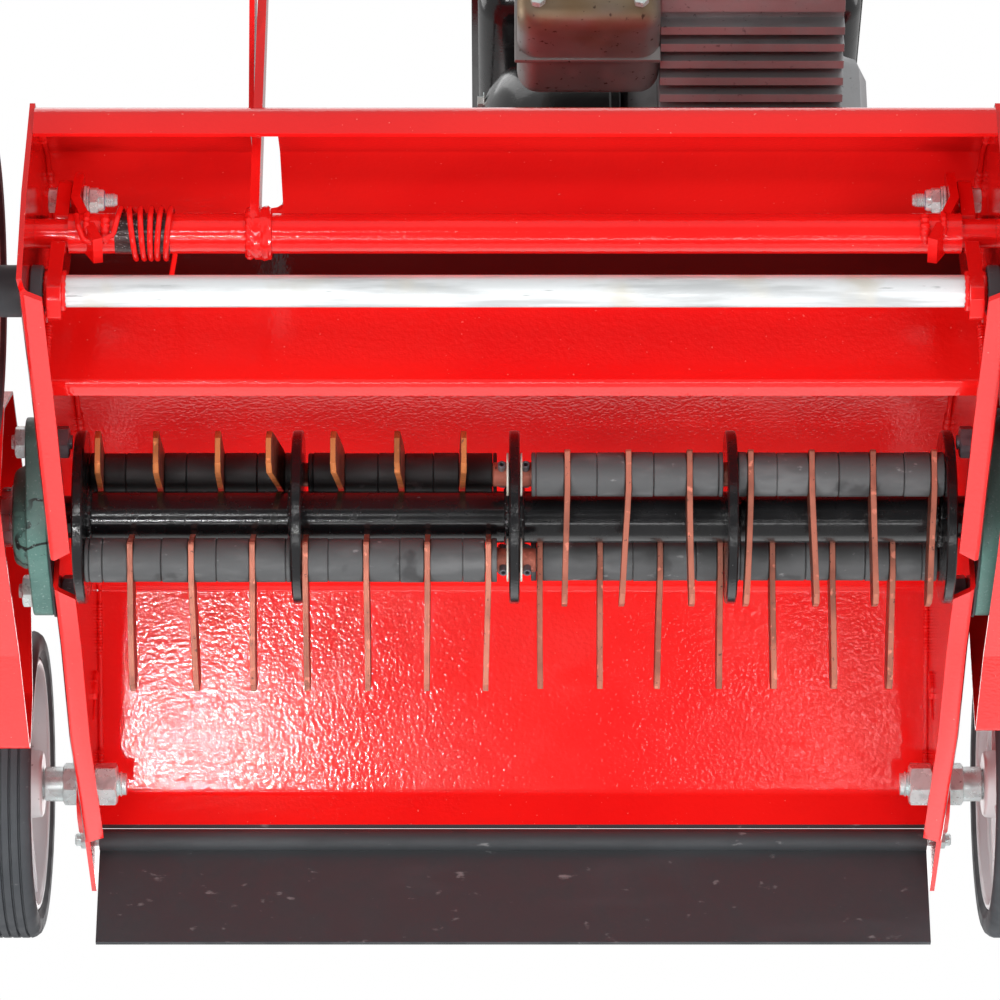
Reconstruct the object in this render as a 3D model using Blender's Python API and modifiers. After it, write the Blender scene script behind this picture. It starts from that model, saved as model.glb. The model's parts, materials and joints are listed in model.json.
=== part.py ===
"""Lawn scarifier: a steel flail housing on four wheels, with its engine, belt drive and handlebar.

Metres, +Z up. The front faces -Y and X runs to the right as seen from the front. Sizes along the
machine are given as "ahead" of the rotor's axis and "above" it, and at() turns them into Y and Z.
"""
import math

import bmesh
import bpy
from mathutils import Matrix, Vector

MM = 0.001
GAP = 0.3 * MM                    # left between pieces that touch
RUN = 0.6 * MM                    # left round a piece that turns

# Housing
INNER_WIDTH = 530 * MM            # between the side plates
SHEET = 3 * MM
DECK_ABOVE = 121 * MM             # underside of the deck over the rotor's axis
DECK_BEND_AHEAD = 193 * MM
DECK_FRONT_AHEAD = 262 * MM
DECK_FRONT_ABOVE = 98 * MM
FRONT_LIP_ABOVE = 80 * MM
REAR_TOP_BEHIND = 271 * MM
REAR_LIP_BEHIND = 352 * MM        # where the sloped rear panel bends down into its lip
REAR_LIP_ABOVE = 16 * MM
REAR_LIP_DROP = 23 * MM
BEND_RADIUS = 8 * MM
PARTITION_AHEAD = 131 * MM        # front face of the plate between the rotor and the lift gear
PARTITION_ABOVE = 5 * MM
PARTITION_LIP = 12 * MM
SIDE_LIP = 9.5 * MM
SIDE_LIP_FRONT = 262 * MM
SIDE_LIP_REAR = 300 * MM
NOTCH_WIDTH = 31 * MM
NOTCH_FLARE = 14 * MM             # how far the lip is cut back on each side of the notch
PLATE_PAST_FLAP = 17 * MM
TOWER_RADIUS = 58 * MM            # the belt side's plate round the engine's shaft
TOWER_SPREAD = 14 * MM            # wider than that at its foot

# Wheels
WHEEL_RADIUS = 97 * MM
WHEEL_WIDTH = 42 * MM
TYRE_DEPTH = 17 * MM
HUB_RADIUS = 21 * MM
REAR_WHEEL_INNER = 297 * MM       # from the middle of the machine
FRONT_WHEEL_INNER = 286 * MM
REAR_AXLE_BEHIND = 316 * MM
FRONT_AXLE_AHEAD = 225.6 * MM
WHEEL_BOLT_RADIUS = 8 * MM
WHEEL_BOLT_END = 244.5 * MM       # the bolt's inner end, from the middle of the machine
WHEEL_NUT = 14.7 * MM             # height of the inner nut
WHEEL_NUT_AF = 24 * MM
DOUBLER = 6 * MM                  # plate welded on outside at the rear wheels
SPOKE_WINDOWS = 5
WHEEL_SIDES = 16

# Rotor
ROTOR_HEIGHT = 95 * MM
ROTOR_TUBE_RADIUS = 15 * MM
ROTOR_STUB_RADIUS = 12.5 * MM
DISC_RADIUS = 50.5 * MM
DISC_THICKNESS = 6 * MM
DISC_PITCH = 125.6 * MM
ROD_CIRCLE = 35 * MM
ROD_RADIUS = 7 * MM
ROD_ANGLE = 12.1                  # degrees that the first rod stands off the level
SPACER_RADIUS = 13 * MM
SPACER_BORE = 8 * MM
FLAIL_PITCH = 35.2 * MM
FLAIL_FIRST_A = 15 * MM           # first flail from the middle disc, on two of the rods
FLAIL_OUTER_A = 151 * MM          # and the first one past the next disc
FLAILS_INNER_A = 4
FLAIL_FIRST_B = 30.5 * MM         # first flail on the other two rods
FLAILS_PER_ROD = 7
LEFT_LOWER_HANG = -134.0          # degrees from ahead, how each bank's flails lie
LEFT_UPPER_HANG = -22.6
RIGHT_UPPER_HANG = -115.4
RIGHT_LOWER_HANG = -122.9
FLAIL_WIDTH = 24.6 * MM
FLAIL_THICKNESS = 3.3 * MM
FLAIL_REACH = 76 * MM             # hole's centre to the tip
FLAIL_HEAD = 13 * MM              # hole's centre to the top end
FLAIL_CHAMFER = 5 * MM
FLAIL_HOLE_RADIUS = 10.2 * MM     # seated on its sleeve
ROD_STUB = 12.5 * MM              # how far a rod stands out past the middle disc's centre
ROD_PAST = 0.9 * MM               # and past the end disc
SPACER_START = 9.8 * MM           # first sleeve from the middle disc's centre
COLLAR_RADIUS = 12.5 * MM
COLLAR_THICKNESS = 1.3 * MM
PIN_RADIUS = 2.2 * MM
PIN_REACH = 11.5 * MM             # each way from the rod's axis
PIN_PLACES = (6.4 * MM, -7.4 * MM)   # either side of the middle disc

# Bearings
BEARING_FLANGE = 13.5 * MM
BEARING_DEPTH = 30 * MM
BEARING_BOSS_RADIUS = 30 * MM
BEARING_BOLT_SPACING = 99 * MM
BEARING_LOBE_RADIUS = 15 * MM
BEARING_SLANT = 28.4              # degrees, the bolts' line above the level
BEARING_COLLAR_RADIUS = 17.5 * MM
BEARING_BOLT_RADIUS = 5 * MM
M10_AF = 17 * MM

# Depth gear
TUBE_AHEAD = 217 * MM
TUBE_ABOVE = 47 * MM
TUBE_RADIUS = 11 * MM
TUBE_STUB_RADIUS = 8 * MM
CRANK_RADIUS = 44.6 * MM
CRANK_ANGLE = 60.4                # degrees above the level, towards the rear
LIFT_TRAVEL = 28.0                # degrees
AXLE_ABOVE = 2 * MM
AXLE_RADIUS = 8.8 * MM
ARM_THICKNESS = 8 * MM
ARM_WIDTH = 22 * MM
ARM_BULGE = 17 * MM               # behind the bay that clears the tube
ARM_MIDDLE = 251.4 * MM           # from the middle of the machine
EAR_THICKNESS = 5 * MM
EAR_MIDDLE = 244 * MM
EAR_LEAN = 15 * MM                # how far its foot leans inwards
EAR_WIDTH = 26 * MM
LINK_BOLT_RADIUS = 4 * MM
LINK_BOLT_PAST = 22 * MM          # how far it stands out inside the ear
M8_AF = 13 * MM
BUSH_RADIUS = 14.3 * MM
BUSH_FLANGE = 7.2 * MM
BUSH_NECK_RADIUS = 10.6 * MM
SLOT_CLEARANCE = 1.6 * MM         # each side of the bush's neck, for the opened pivot
LEVER_AT = -143.7 * MM            # X of the hand lever's plate
LEVER_THICKNESS = 5 * MM
LEVER_WIDTH = 28 * MM
LEVER_LENGTH = 262 * MM           # from the tube's axis
LEVER_LEAN = 3.0                  # degrees behind upright at rest
DECK_SLOT_LEFT = -147.8 * MM
DECK_SLOT_RIGHT = -132.5 * MM
DECK_SLOT_REAR = 135 * MM         # ahead of the rotor
DECK_SLOT_FRONT = 236 * MM
KNOB_RADIUS = 17 * MM
QUADRANT_RADIUS = 170 * MM        # from the lift tube's axis
QUADRANT_FIRST = 80.0             # degrees, its first notch
QUADRANT_NOTCHES = 7

# Torsion spring on the lift tube
SPRING_WIRE = 2.8 * MM
SPRING_START = 195.0              # degrees round the tube where the first curl begins
SPRING_POINTS = 53                # points along the curls
SPRING_LEG_SLOPE = 32.9           # degrees, up and back to the partition
SPRING_HOOK = ((-240, -15.0, 3.0), (-238.5, -15.6, -0.5), (-234, -15.9, -2.6), (-222.5, -15.4, -2.6),
               (-218, -14.6, -2.2))     # X and the place from the tube's axis, in millimetres
SPRING_MEAN_RADIUS = 13.9 * MM
SPRING_PITCH = 5.6 * MM
SPRING_LEFT = -215.6 * MM         # X of the first curl
POINTS_A_CURL = 10

# Engine
CRANK_BEHIND = 30 * MM
CRANK_ABOVE = 232 * MM            # over the rotor's axis
PTO_FACE = 214 * MM               # X of the engine's drive side
CASE_LENGTH = 150 * MM
CASE_SIZE = 156 * MM
CYLINDER_TILT = 25.0
CYLINDER_LENGTH = 190 * MM        # from the crankshaft to the head
CYLINDER_SIZE = 108 * MM
FIN_COUNT = 9
FIN_DEPTH = 13 * MM
CYLINDER_START = 62 * MM          # where the fins begin
HEAD_LENGTH = 28 * MM             # head over the fins
COVER_LENGTH = 24 * MM            # valve cover over the head
CYLINDER_INSET = 22 * MM          # from the case's left end
SHROUD_RADIUS = 104 * MM
SHROUD_DEPTH = 92 * MM
SHROUD_RIM = 44 * MM              # depth of the shroud's straight wall
SHROUD_FACE_RADIUS = 62 * MM
SHROUD_SLOTS = 6
FOOT_SPREAD = 6 * MM              # the foot beyond the case
TANK_LENGTH = 236 * MM
TANK_WIDTH = 150 * MM
TANK_HEIGHT = 74 * MM
TANK_OVER_SHROUD = 4 * MM
TANK_EDGE = 20 * MM
CLEANER_DEPTH = 66 * MM
CLEANER_LOW = -20 * MM            # from the crankshaft's height
CLEANER_HIGH = 84 * MM
MUFFLER_WIDTH = 84 * MM
MUFFLER_NEAR = 116 * MM           # ahead of the crankshaft
MUFFLER_FAR = 196 * MM
MUFFLER_LOW = 6 * MM
MUFFLER_HIGH = 100 * MM
TAIL_RADIUS = 9 * MM
TAIL_LENGTH = 18 * MM
RECOIL_ANGLE = 42.0
RECOIL_OVER_SHROUD = 9 * MM
RECOIL_GRIP_RADIUS = 7.5 * MM
RECOIL_GRIP_HALF = 26 * MM
SHAFT_RADIUS = 9.5 * MM
CAP_RADIUS = 25 * MM
CAP_HEIGHT = 15 * MM
CAP_LOBES = 12

# Belt drive
BELT_MIDDLE = 309 * MM            # X of the belt
BELT_WIDTH = 12.5 * MM
BELT_DEPTH = 8 * MM
ROTOR_PULLEY_RADIUS = 28 * MM     # under the belt
ENGINE_PULLEY_RADIUS = 34 * MM
PULLEY_RIM = 9.5 * MM             # flange height over the belt's seat
BELT_SLIP = 1.2 * MM              # from the seat to the bottom of the groove
PULLEY_WIDTH = 20 * MM
GROOVE_FLARE = 2.2 * MM           # how much each flank opens outwards
IDLER_RADIUS = 21 * MM
IDLER_CLEAR = 4 * MM              # from the slack belt at rest
IDLER_ABOVE = 125 * MM            # over the rotor's axis
IDLER_RIM = 3 * MM
IDLER_PIN_RADIUS = 5 * MM
IDLER_PIVOT_BEHIND = 84 * MM
IDLER_PIVOT_ABOVE = 172 * MM
IDLER_POST_RADIUS = 6 * MM
GUARD_SHEET = 2 * MM
GUARD_ROOM = 16 * MM              # from the pulleys to the inside of the guards
GUARD_DROP = 4 * MM               # under the side plates' lower edge
GUARD_TOP = 62 * MM               # height of the left guard over the rotor's axis
GUARD_ROUND = 8 * MM              # round the tower of the belt side
LEFT_GUARD_FRONT = 74 * MM
LEFT_GUARD_REAR = 176 * MM
RIGHT_GUARD_FRONT = 84 * MM
RIGHT_GUARD_REAR = 152 * MM
LEFT_GUARD_INNER = 292 * MM
RIGHT_GUARD_INNER = 277 * MM

# Flap
FLAP_BEHIND_LIP = 4 * MM          # the rod behind the rear lip's inner face
FLAP_ROD_DROP = 16 * MM           # under the rotor's axis
FLAP_ROD_RADIUS = 4 * MM
FLAP_NUT_AF = 10 * MM
FLAP_ROLL_RADIUS = 7 * MM
FLAP_THICKNESS = 3.5 * MM
FLAP_CLEAR = 7 * MM               # over the ground

# Handlebar
BAR_RADIUS = 12.5 * MM
BAR_MIDDLE = 218 * MM             # X of the two tubes
BAR_FOOT_BEHIND = 236 * MM
BAR_FOOT_OVER_DECK = 34 * MM
LOWER_BAR_LENGTH = 420 * MM
LOWER_BAR_ANGLE = 50.0
UPPER_BAR_LENGTH = 500 * MM
UPPER_BAR_ANGLE = 38.0
GRIP_LENGTH = 130 * MM
GRIP_WALL = 4.5 * MM
GRIP_FIT = 0.8 * MM               # round the tube
FOLD_BAR_OFFSET = 26 * MM         # the upper tubes stand inside the lower ones
BAIL_RADIUS = 4 * MM
BAIL_ANGLE = 24.0
BAR_TUBE_SIDES = 3                # bevel resolution of the handlebar's tubes
BAR_BOLT_RADIUS = 4 * MM
BAR_BOLT_FIRST = -8 * MM          # along the tube from its place over the deck
BAR_BOLT_SPACING = 34 * MM
BAR_END_LOW = -22 * MM
BAR_HOLE_RADIUS = BAR_BOLT_RADIUS + 0.5 * MM
BAR_END_PAST = 22 * MM            # tube beyond the folding bolt
CROSS_BAR_RADIUS = 9 * MM
LOWER_CROSS_SHARE = 0.62
UPPER_CROSS_SHARE = 0.72
THROTTLE_SHARE = 0.8
BAIL_SHARE = 0.86
GRIP_COLLAR = 3 * MM
GRIP_START = 34 * MM              # bare tube before the grip
THROTTLE_OFF = 10.5 * MM          # the throttle's stalk from its hub's inner face
BRACKET_THICKNESS = 4 * MM

HALF = INNER_WIDTH / 2
PLATE_OUT = HALF + SHEET
FLAP_ROD_BEHIND = REAR_LIP_BEHIND + FLAP_BEHIND_LIP
GUARD_OUTER = BELT_MIDDLE + PULLEY_WIDTH / 2 + GUARD_ROOM + GUARD_SHEET

FOLD_BEHIND = BAR_FOOT_BEHIND + LOWER_BAR_LENGTH * math.cos(math.radians(LOWER_BAR_ANGLE))
FOLD_ABOVE = (DECK_ABOVE + SHEET + BAR_FOOT_OVER_DECK
              + LOWER_BAR_LENGTH * math.sin(math.radians(LOWER_BAR_ANGLE)))
GRIP_BEHIND = FOLD_BEHIND + UPPER_BAR_LENGTH * math.cos(math.radians(UPPER_BAR_ANGLE))
GRIP_ABOVE = FOLD_ABOVE + UPPER_BAR_LENGTH * math.sin(math.radians(UPPER_BAR_ANGLE))
REACH_REAR = GRIP_BEHIND + GRIP_LENGTH + GRIP_WALL
REACH_FRONT = FRONT_AXLE_AHEAD + WHEEL_RADIUS
ROTOR_Y = (REACH_FRONT - REACH_REAR) / 2      # puts the origin under the middle of the machine


def at(ahead, above):
    """Y and Z of a point given from the rotor's axis."""
    return (ROTOR_Y - ahead, ROTOR_HEIGHT + above)


def spot(x, ahead, above):
    y, z = at(ahead, above)
    return Vector((x, y, z))


WHEEL_ABOVE = WHEEL_RADIUS - ROTOR_HEIGHT
SIDES = (("left", -1), ("right", 1))


# Scene and helpers

for old in list(bpy.data.objects):
    bpy.data.objects.remove(old, do_unlink=True)

PARTS = bpy.data.collections.new("lawn_scarifier")
bpy.context.scene.collection.children.link(PARTS)


def material(name, colour, roughness, metallic=0.0):
    made = bpy.data.materials.new(name)
    made.use_nodes = True
    shader = made.node_tree.nodes["Principled BSDF"]
    shader.inputs["Base Color"].default_value = (*colour, 1.0)
    shader.inputs["Roughness"].default_value = roughness
    shader.inputs["Metallic"].default_value = metallic
    return made


RED = (0.80, 0.012, 0.012)
GLOSS_BLACK = (0.012, 0.012, 0.014)
COPPER = (0.55, 0.16, 0.09)
ZINC = (0.75, 0.77, 0.78)
RUBBER = (0.035, 0.037, 0.039)
PLASTIC = (0.045, 0.048, 0.052)
CAST_GREEN = (0.09, 0.19, 0.17)
SILVER = (0.62, 0.64, 0.65)
ALUMINIUM = (0.50, 0.51, 0.52)


def mesh_object(name, bm):
    bmesh.ops.recalc_face_normals(bm, faces=bm.faces)
    mesh = bpy.data.meshes.new(name)
    bm.to_mesh(mesh)
    bm.free()
    made = bpy.data.objects.new(name, mesh)
    PARTS.objects.link(made)
    return made


def baked(source):
    """The evaluated shape of an object as a plain mesh in world space; the object goes."""
    bpy.context.view_layer.update()
    graph = bpy.context.evaluated_depsgraph_get()
    mesh = bpy.data.meshes.new_from_object(source.evaluated_get(graph))
    mesh.transform(source.matrix_world)
    bm = bmesh.new()
    bm.from_mesh(mesh)
    bmesh.ops.remove_doubles(bm, verts=bm.verts, dist=0.00001)
    bpy.data.meshes.remove(mesh)
    name = source.name
    bpy.data.objects.remove(source, do_unlink=True)
    return mesh_object(name, bm)


def pivot(name, place, parent=None):
    """An empty on a joint's axis, which carries the pieces of one moving body."""
    empty = bpy.data.objects.new(name, None)
    empty.empty_display_size = 0.03
    PARTS.objects.link(empty)
    empty.location = place
    if parent:
        empty.parent = parent
        empty.location = Vector(place) - parent.matrix_world.translation
    bpy.context.view_layer.update()
    return empty


def node(name, shape, colour, roughness, metallic=0.0, parent=None):
    """Makes a shape into a named part, with its origin on its parent's axis."""
    bm = bmesh.new()
    bm.from_mesh(shape.data)
    bpy.data.objects.remove(shape, do_unlink=True)
    centre = parent.matrix_world.translation if parent else Vector((0, 0, 0))
    bmesh.ops.translate(bm, verts=bm.verts, vec=-centre)
    made = mesh_object(name, bm)
    made.parent = parent
    made.data.materials.append(material(name, colour, roughness, metallic))
    made.data.shade_smooth()
    made.data.set_sharp_from_angle(angle=math.radians(32))
    return made


def prism(outline, low, high, axis="X", holes=()):
    """A flat plate: an outline across one axis, from low to high along it.

    The outline is (y, z) for X, (x, z) for Y and (x, y) for Z.
    """
    curve = bpy.data.curves.new("plate", "CURVE")
    curve.dimensions = "2D"
    curve.fill_mode = "BOTH"
    curve.extrude = (high - low) / 2
    for ring in (outline, *holes):
        spline = curve.splines.new("POLY")
        spline.points.add(len(ring) - 1)
        for point, (u, v) in zip(spline.points, ring):
            point.co = (u, v, 0, 1)
        spline.use_cyclic_u = True
    made = bpy.data.objects.new("plate", curve)
    PARTS.objects.link(made)
    middle = (low + high) / 2
    if axis == "X":
        made.rotation_euler = (math.pi / 2, 0, math.pi / 2)
        made.location = (middle, 0, 0)
    elif axis == "Y":
        made.rotation_euler = (math.pi / 2, 0, 0)
        made.location = (0, middle, 0)
    else:
        made.location = (0, 0, middle)
    return baked(made)


def ring_points(centre, radius, count, start=0.0):
    u, v = centre
    return [(u + radius * math.cos(start + math.tau * k / count),
             v + radius * math.sin(start + math.tau * k / count)) for k in range(count)]


def arc_points(centre, radius, first, last, steps):
    """Points on an arc, angles in degrees."""
    u, v = centre
    angles = [math.radians(first + (last - first) * k / steps) for k in range(steps + 1)]
    return [(u + radius * math.cos(a), v + radius * math.sin(a)) for a in angles]


def corner(before, here, after, radius, steps):
    """The points that round one corner of an outline."""
    here = Vector(here[:2])
    back = Vector(before[:2]) - here
    ahead = Vector(after[:2]) - here
    angle = back.angle(ahead)
    if radius < 0.0002 or angle > math.radians(177):
        return [tuple(here)]
    reach = min(radius / math.tan(angle / 2), 0.48 * back.length, 0.48 * ahead.length)
    radius = reach * math.tan(angle / 2)
    towards = (back.normalized() + ahead.normalized()).normalized()
    middle = here + towards * (radius / math.sin(angle / 2))
    first = here + back.normalized() * reach - middle
    last = here + ahead.normalized() * reach - middle
    points = []
    for step in range(steps + 1):
        way = first.normalized().slerp(last.normalized(), step / steps)
        points.append(tuple(middle + way * first.length))
    return points


def rounded(corners, radius, steps=3):
    """A closed outline with its corners rounded; a corner may carry its own radius third."""
    count = len(corners)
    points = []
    for k, here in enumerate(corners):
        wanted = here[2] if len(here) > 2 else radius
        points += corner(corners[k - 1], here, corners[(k + 1) % count], wanted, steps)
    return points


def bent(corners, radius, steps=3):
    """An open path with its bends rounded and its ends where they are."""
    points = [tuple(corners[0])]
    for before, here, after in zip(corners, corners[1:], corners[2:]):
        points += corner(before, here, after, radius, steps)
    return points + [tuple(corners[-1])]


def turned(profile, segments, axis="X", centre=(0, 0, 0), closed=False, direction=1):
    """A turned shape: (radius, along) points down its outer side, about an axis through centre."""
    bm = bmesh.new()
    points = [bm.verts.new((radius, 0, along)) for radius, along in profile]
    for first, second in zip(points, points[1:]):
        bm.edges.new((first, second))
    if closed:
        bm.edges.new((points[-1], points[0]))
    mesh = bpy.data.meshes.new("turned")
    bm.to_mesh(mesh)
    bm.free()
    made = bpy.data.objects.new("turned", mesh)
    PARTS.objects.link(made)
    screw = made.modifiers.new("screw", "SCREW")
    screw.axis = "Z"
    screw.steps = segments
    screw.render_steps = segments
    screw.use_merge_vertices = True
    screw.merge_threshold = 0.00001
    if axis == "X":
        made.rotation_euler = (0, math.pi / 2 * direction, 0)
    elif axis == "Y":
        made.rotation_euler = (-math.pi / 2 * direction, 0, 0)
    made.location = centre
    return baked(made)


def sleeve(outer, inner, low, high, segments, axis="X", centre=(0, 0, 0)):
    """A ring between low and high along its axis."""
    profile = [(outer, high), (outer, low), (inner, low), (inner, high)]
    return turned(profile, segments, axis, centre, closed=True)


def bar(radius, start, end, segments=12):
    """A round or six-sided bar between two points."""
    start = Vector(start)
    end = Vector(end)
    along = end - start
    bm = bmesh.new()
    spin = along.to_track_quat("Z", "Y").to_matrix().to_4x4()
    bmesh.ops.create_cone(bm, cap_ends=True, segments=segments, radius1=radius, radius2=radius,
                          depth=along.length, matrix=Matrix.Translation((start + end) / 2) @ spin)
    return mesh_object("bar", bm)


def hexagon(across_flats, start, end):
    return bar(across_flats / math.sqrt(3), start, end, 6)


def box(low, high, bevel=0.0, segments=1):
    """A block between two corners, with its edges rounded."""
    low = Vector(low)
    high = Vector(high)
    bm = bmesh.new()
    bmesh.ops.create_cube(bm, size=1.0)
    bmesh.ops.scale(bm, vec=high - low, verts=bm.verts)
    bmesh.ops.translate(bm, vec=(low + high) / 2, verts=bm.verts)
    made = mesh_object("block", bm)
    if bevel:
        edges = made.modifiers.new("edges", "BEVEL")
        edges.width = bevel
        edges.segments = segments
        made = baked(made)
    return made


def wire(points, radius, resolution=2):
    """A round tube or wire along points, with flat ends."""
    curve = bpy.data.curves.new("wire", "CURVE")
    curve.dimensions = "3D"
    curve.bevel_depth = radius
    curve.bevel_resolution = resolution
    curve.use_fill_caps = True
    spline = curve.splines.new("POLY")
    spline.points.add(len(points) - 1)
    for point, place in zip(spline.points, points):
        point.co = (*place, 1)
    made = bpy.data.objects.new("wire", curve)
    PARTS.objects.link(made)
    return baked(made)


def boolean(target, others, operation):
    for other in others:
        step = target.modifiers.new(operation, "BOOLEAN")
        step.operation = operation
        step.solver = "EXACT"
        step.object = other
    made = baked(target)
    for other in others:
        bpy.data.objects.remove(other, do_unlink=True)
    return made


def cut(target, *cutters):
    return boolean(target, cutters, "DIFFERENCE")


def fuse(target, *others):
    return boolean(target, others, "UNION")


def folded(path, thickness, low, high):
    """A folded sheet: a path of (y, z) points drawn out along X, thickened to the path's right."""
    bm = bmesh.new()
    rows = [(bm.verts.new((low, y, z)), bm.verts.new((high, y, z))) for y, z in path]
    for (a, b), (c, d) in zip(rows, rows[1:]):
        bm.faces.new((a, b, d, c))
    mesh = bpy.data.meshes.new("sheet")
    bm.to_mesh(mesh)
    bm.free()
    made = bpy.data.objects.new("sheet", mesh)
    PARTS.objects.link(made)
    skin = made.modifiers.new("skin", "SOLIDIFY")
    skin.thickness = thickness
    skin.offset = 1.0
    skin.use_even_offset = True
    return baked(made)


# Housing of folded sheet

def side_edge():
    """The side plates' lower edge from front to rear, as (ahead, above)."""
    return [(DECK_FRONT_AHEAD + 12 * MM, -24 * MM), (SIDE_LIP_FRONT, -24.6 * MM), (144 * MM, -29 * MM),
            (26 * MM, -40 * MM), (-79 * MM, -43 * MM), (-162 * MM, -56 * MM),
            (-SIDE_LIP_REAR, -50 * MM)]


def side_plate(name, side):
    """A side plate with its folded lower lip, the rotor's notch and the slot for the front axle."""
    top = DECK_ABOVE + SHEET
    lower = side_edge()
    tail = -FLAP_ROD_BEHIND - PLATE_PAST_FLAP
    rear = [(tail + 4 * MM, -FLAP_ROD_DROP - 30 * MM), (tail, -FLAP_ROD_DROP - 18 * MM),
            (tail, REAR_LIP_ABOVE - 8 * MM), (-REAR_TOP_BEHIND - 8 * MM, top)]
    front = [(DECK_FRONT_AHEAD - 4 * MM, top - 18 * MM), (DECK_FRONT_AHEAD + 12 * MM, 34 * MM)]
    if side > 0:
        # the belt side rises behind the belt as its back plate
        crank = -CRANK_BEHIND
        tower = arc_points((crank, CRANK_ABOVE), TOWER_RADIUS, 180, 0, 10)
        foot = TOWER_RADIUS + TOWER_SPREAD
        head = [(crank - foot, top), *tower, (crank + foot, top)]
    else:
        head = []
    outline = lower + rear + head + [(DECK_BEND_AHEAD, top)] + front
    plane = side * (HALF + SHEET)
    inward = -side
    bm = bmesh.new()
    verts = [bm.verts.new((plane, *at(*point))) for point in outline]
    bm.faces.new(verts)
    lip = verts[1:len(lower)]
    tips = []
    for k, vert in enumerate(lip):
        slip = Vector((0, 0, 0))
        if k == 0:
            slip = (lip[1].co - vert.co).normalized() * 8 * MM
        if k == len(lip) - 1:
            slip = (lip[-2].co - vert.co).normalized() * 8 * MM
        tips.append(bm.verts.new(vert.co + slip + Vector((inward * (SIDE_LIP + SHEET), 0, 0))))
    for k in range(len(lip) - 1):
        bm.faces.new((lip[k], lip[k + 1], tips[k + 1], tips[k]))
    bmesh.ops.recalc_face_normals(bm, faces=bm.faces)
    folds = [e for e in bm.edges if e.verts[0] in lip and e.verts[1] in lip]
    bmesh.ops.bevel(bm, geom=folds, offset=3.5 * MM, segments=2, affect="EDGES", profile=0.5)
    plate = next(f for f in bm.faces if len(f.verts) > 8)
    if plate.normal.x * side < 0:
        bmesh.ops.reverse_faces(bm, faces=bm.faces)
    mesh = bpy.data.meshes.new(name)
    bm.to_mesh(mesh)
    bm.free()
    sheet = bpy.data.objects.new(name, mesh)
    PARTS.objects.link(sheet)
    skin = sheet.modifiers.new("skin", "SOLIDIFY")
    skin.thickness = SHEET
    skin.offset = -1.0
    skin.use_even_offset = True
    sheet = baked(sheet)

    inside, outside = sorted((side * (HALF - 25 * MM), side * (PLATE_OUT + 12 * MM)))
    y, z = at(0, 0)
    half = NOTCH_WIDTH / 2
    notch = [(y - half, z - 0.1)] + [(y - half, z)] + arc_points((y, z), half, 180, 0, 8)[1:-1]
    notch += [(y + half, z), (y + half, z - 0.1)]
    cutters = [prism(notch, inside, outside)]
    flare = side * (HALF + 0.5 * MM)
    tip = side * (HALF - SIDE_LIP - 6 * MM)
    wide = half + NOTCH_FLARE
    cutters.append(prism([(flare, y - half), (tip, y - wide), (tip, y + wide), (flare, y + half)],
                         z - 0.08, z - 0.02, "Z"))
    slot_half = BUSH_NECK_RADIUS + SLOT_CLEARANCE
    y, high = at(FRONT_AXLE_AHEAD, AXLE_ABOVE)
    low = high - axle_drop(LIFT_TRAVEL)
    slot = arc_points((y, high), slot_half, 0, 180, 6) + arc_points((y, low), slot_half, 180, 360, 6)
    cutters.append(prism(slot, side * HALF - 5 * MM, side * HALF + 5 * MM))
    for ahead, above, radius in ((TUBE_AHEAD, TUBE_ABOVE, TUBE_STUB_RADIUS + RUN),
                                 (-REAR_AXLE_BEHIND, WHEEL_ABOVE, WHEEL_BOLT_RADIUS + GAP),
                                 (-FLAP_ROD_BEHIND, -FLAP_ROD_DROP, FLAP_ROD_RADIUS + GAP)):
        centre = spot(0, ahead, above)
        cutters.append(bar(radius + 0.2 * MM, (inside, *centre[1:]), (outside, *centre[1:]), 12))
    for sign in (-1, 1):
        ahead, above = bearing_bolt(sign)
        centre = spot(0, ahead, above)
        cutters.append(bar(BEARING_BOLT_RADIUS + 0.8 * MM, (inside, *centre[1:]),
                           (outside, *centre[1:]), 8))
    if side > 0:
        centre = spot(0, -CRANK_BEHIND, CRANK_ABOVE)
        cutters.append(bar(26 * MM, (inside, *centre[1:]), (outside, *centre[1:]), 16))
        centre = spot(0, *idler_pivot())
        cutters.append(bar(IDLER_POST_RADIUS + RUN, (inside, *centre[1:]), (outside, *centre[1:]), 10))
    return node(name, cut(fuse(sheet, doubler(side)), *cutters), RED, 0.22)


def doubler(side):
    """The thick plate welded outside a side plate where the rear wheel's bolt passes."""
    y, z = at(-REAR_AXLE_BEHIND, WHEEL_ABOVE)
    corners = [(y - 24 * MM, z - 30 * MM), (y + 22 * MM, z - 30 * MM), (y + 22 * MM, z + 30 * MM),
               (y - 24 * MM, z + 30 * MM)]
    ends = sorted((side * (HALF + SHEET / 2), side * (PLATE_OUT + DOUBLER)))
    return prism(rounded(corners, 14 * MM, 2), *ends)


def bearing_bolt(sign):
    slant = math.radians(BEARING_SLANT)
    reach = sign * BEARING_BOLT_SPACING / 2
    return reach * math.cos(slant), reach * math.sin(slant)


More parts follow.
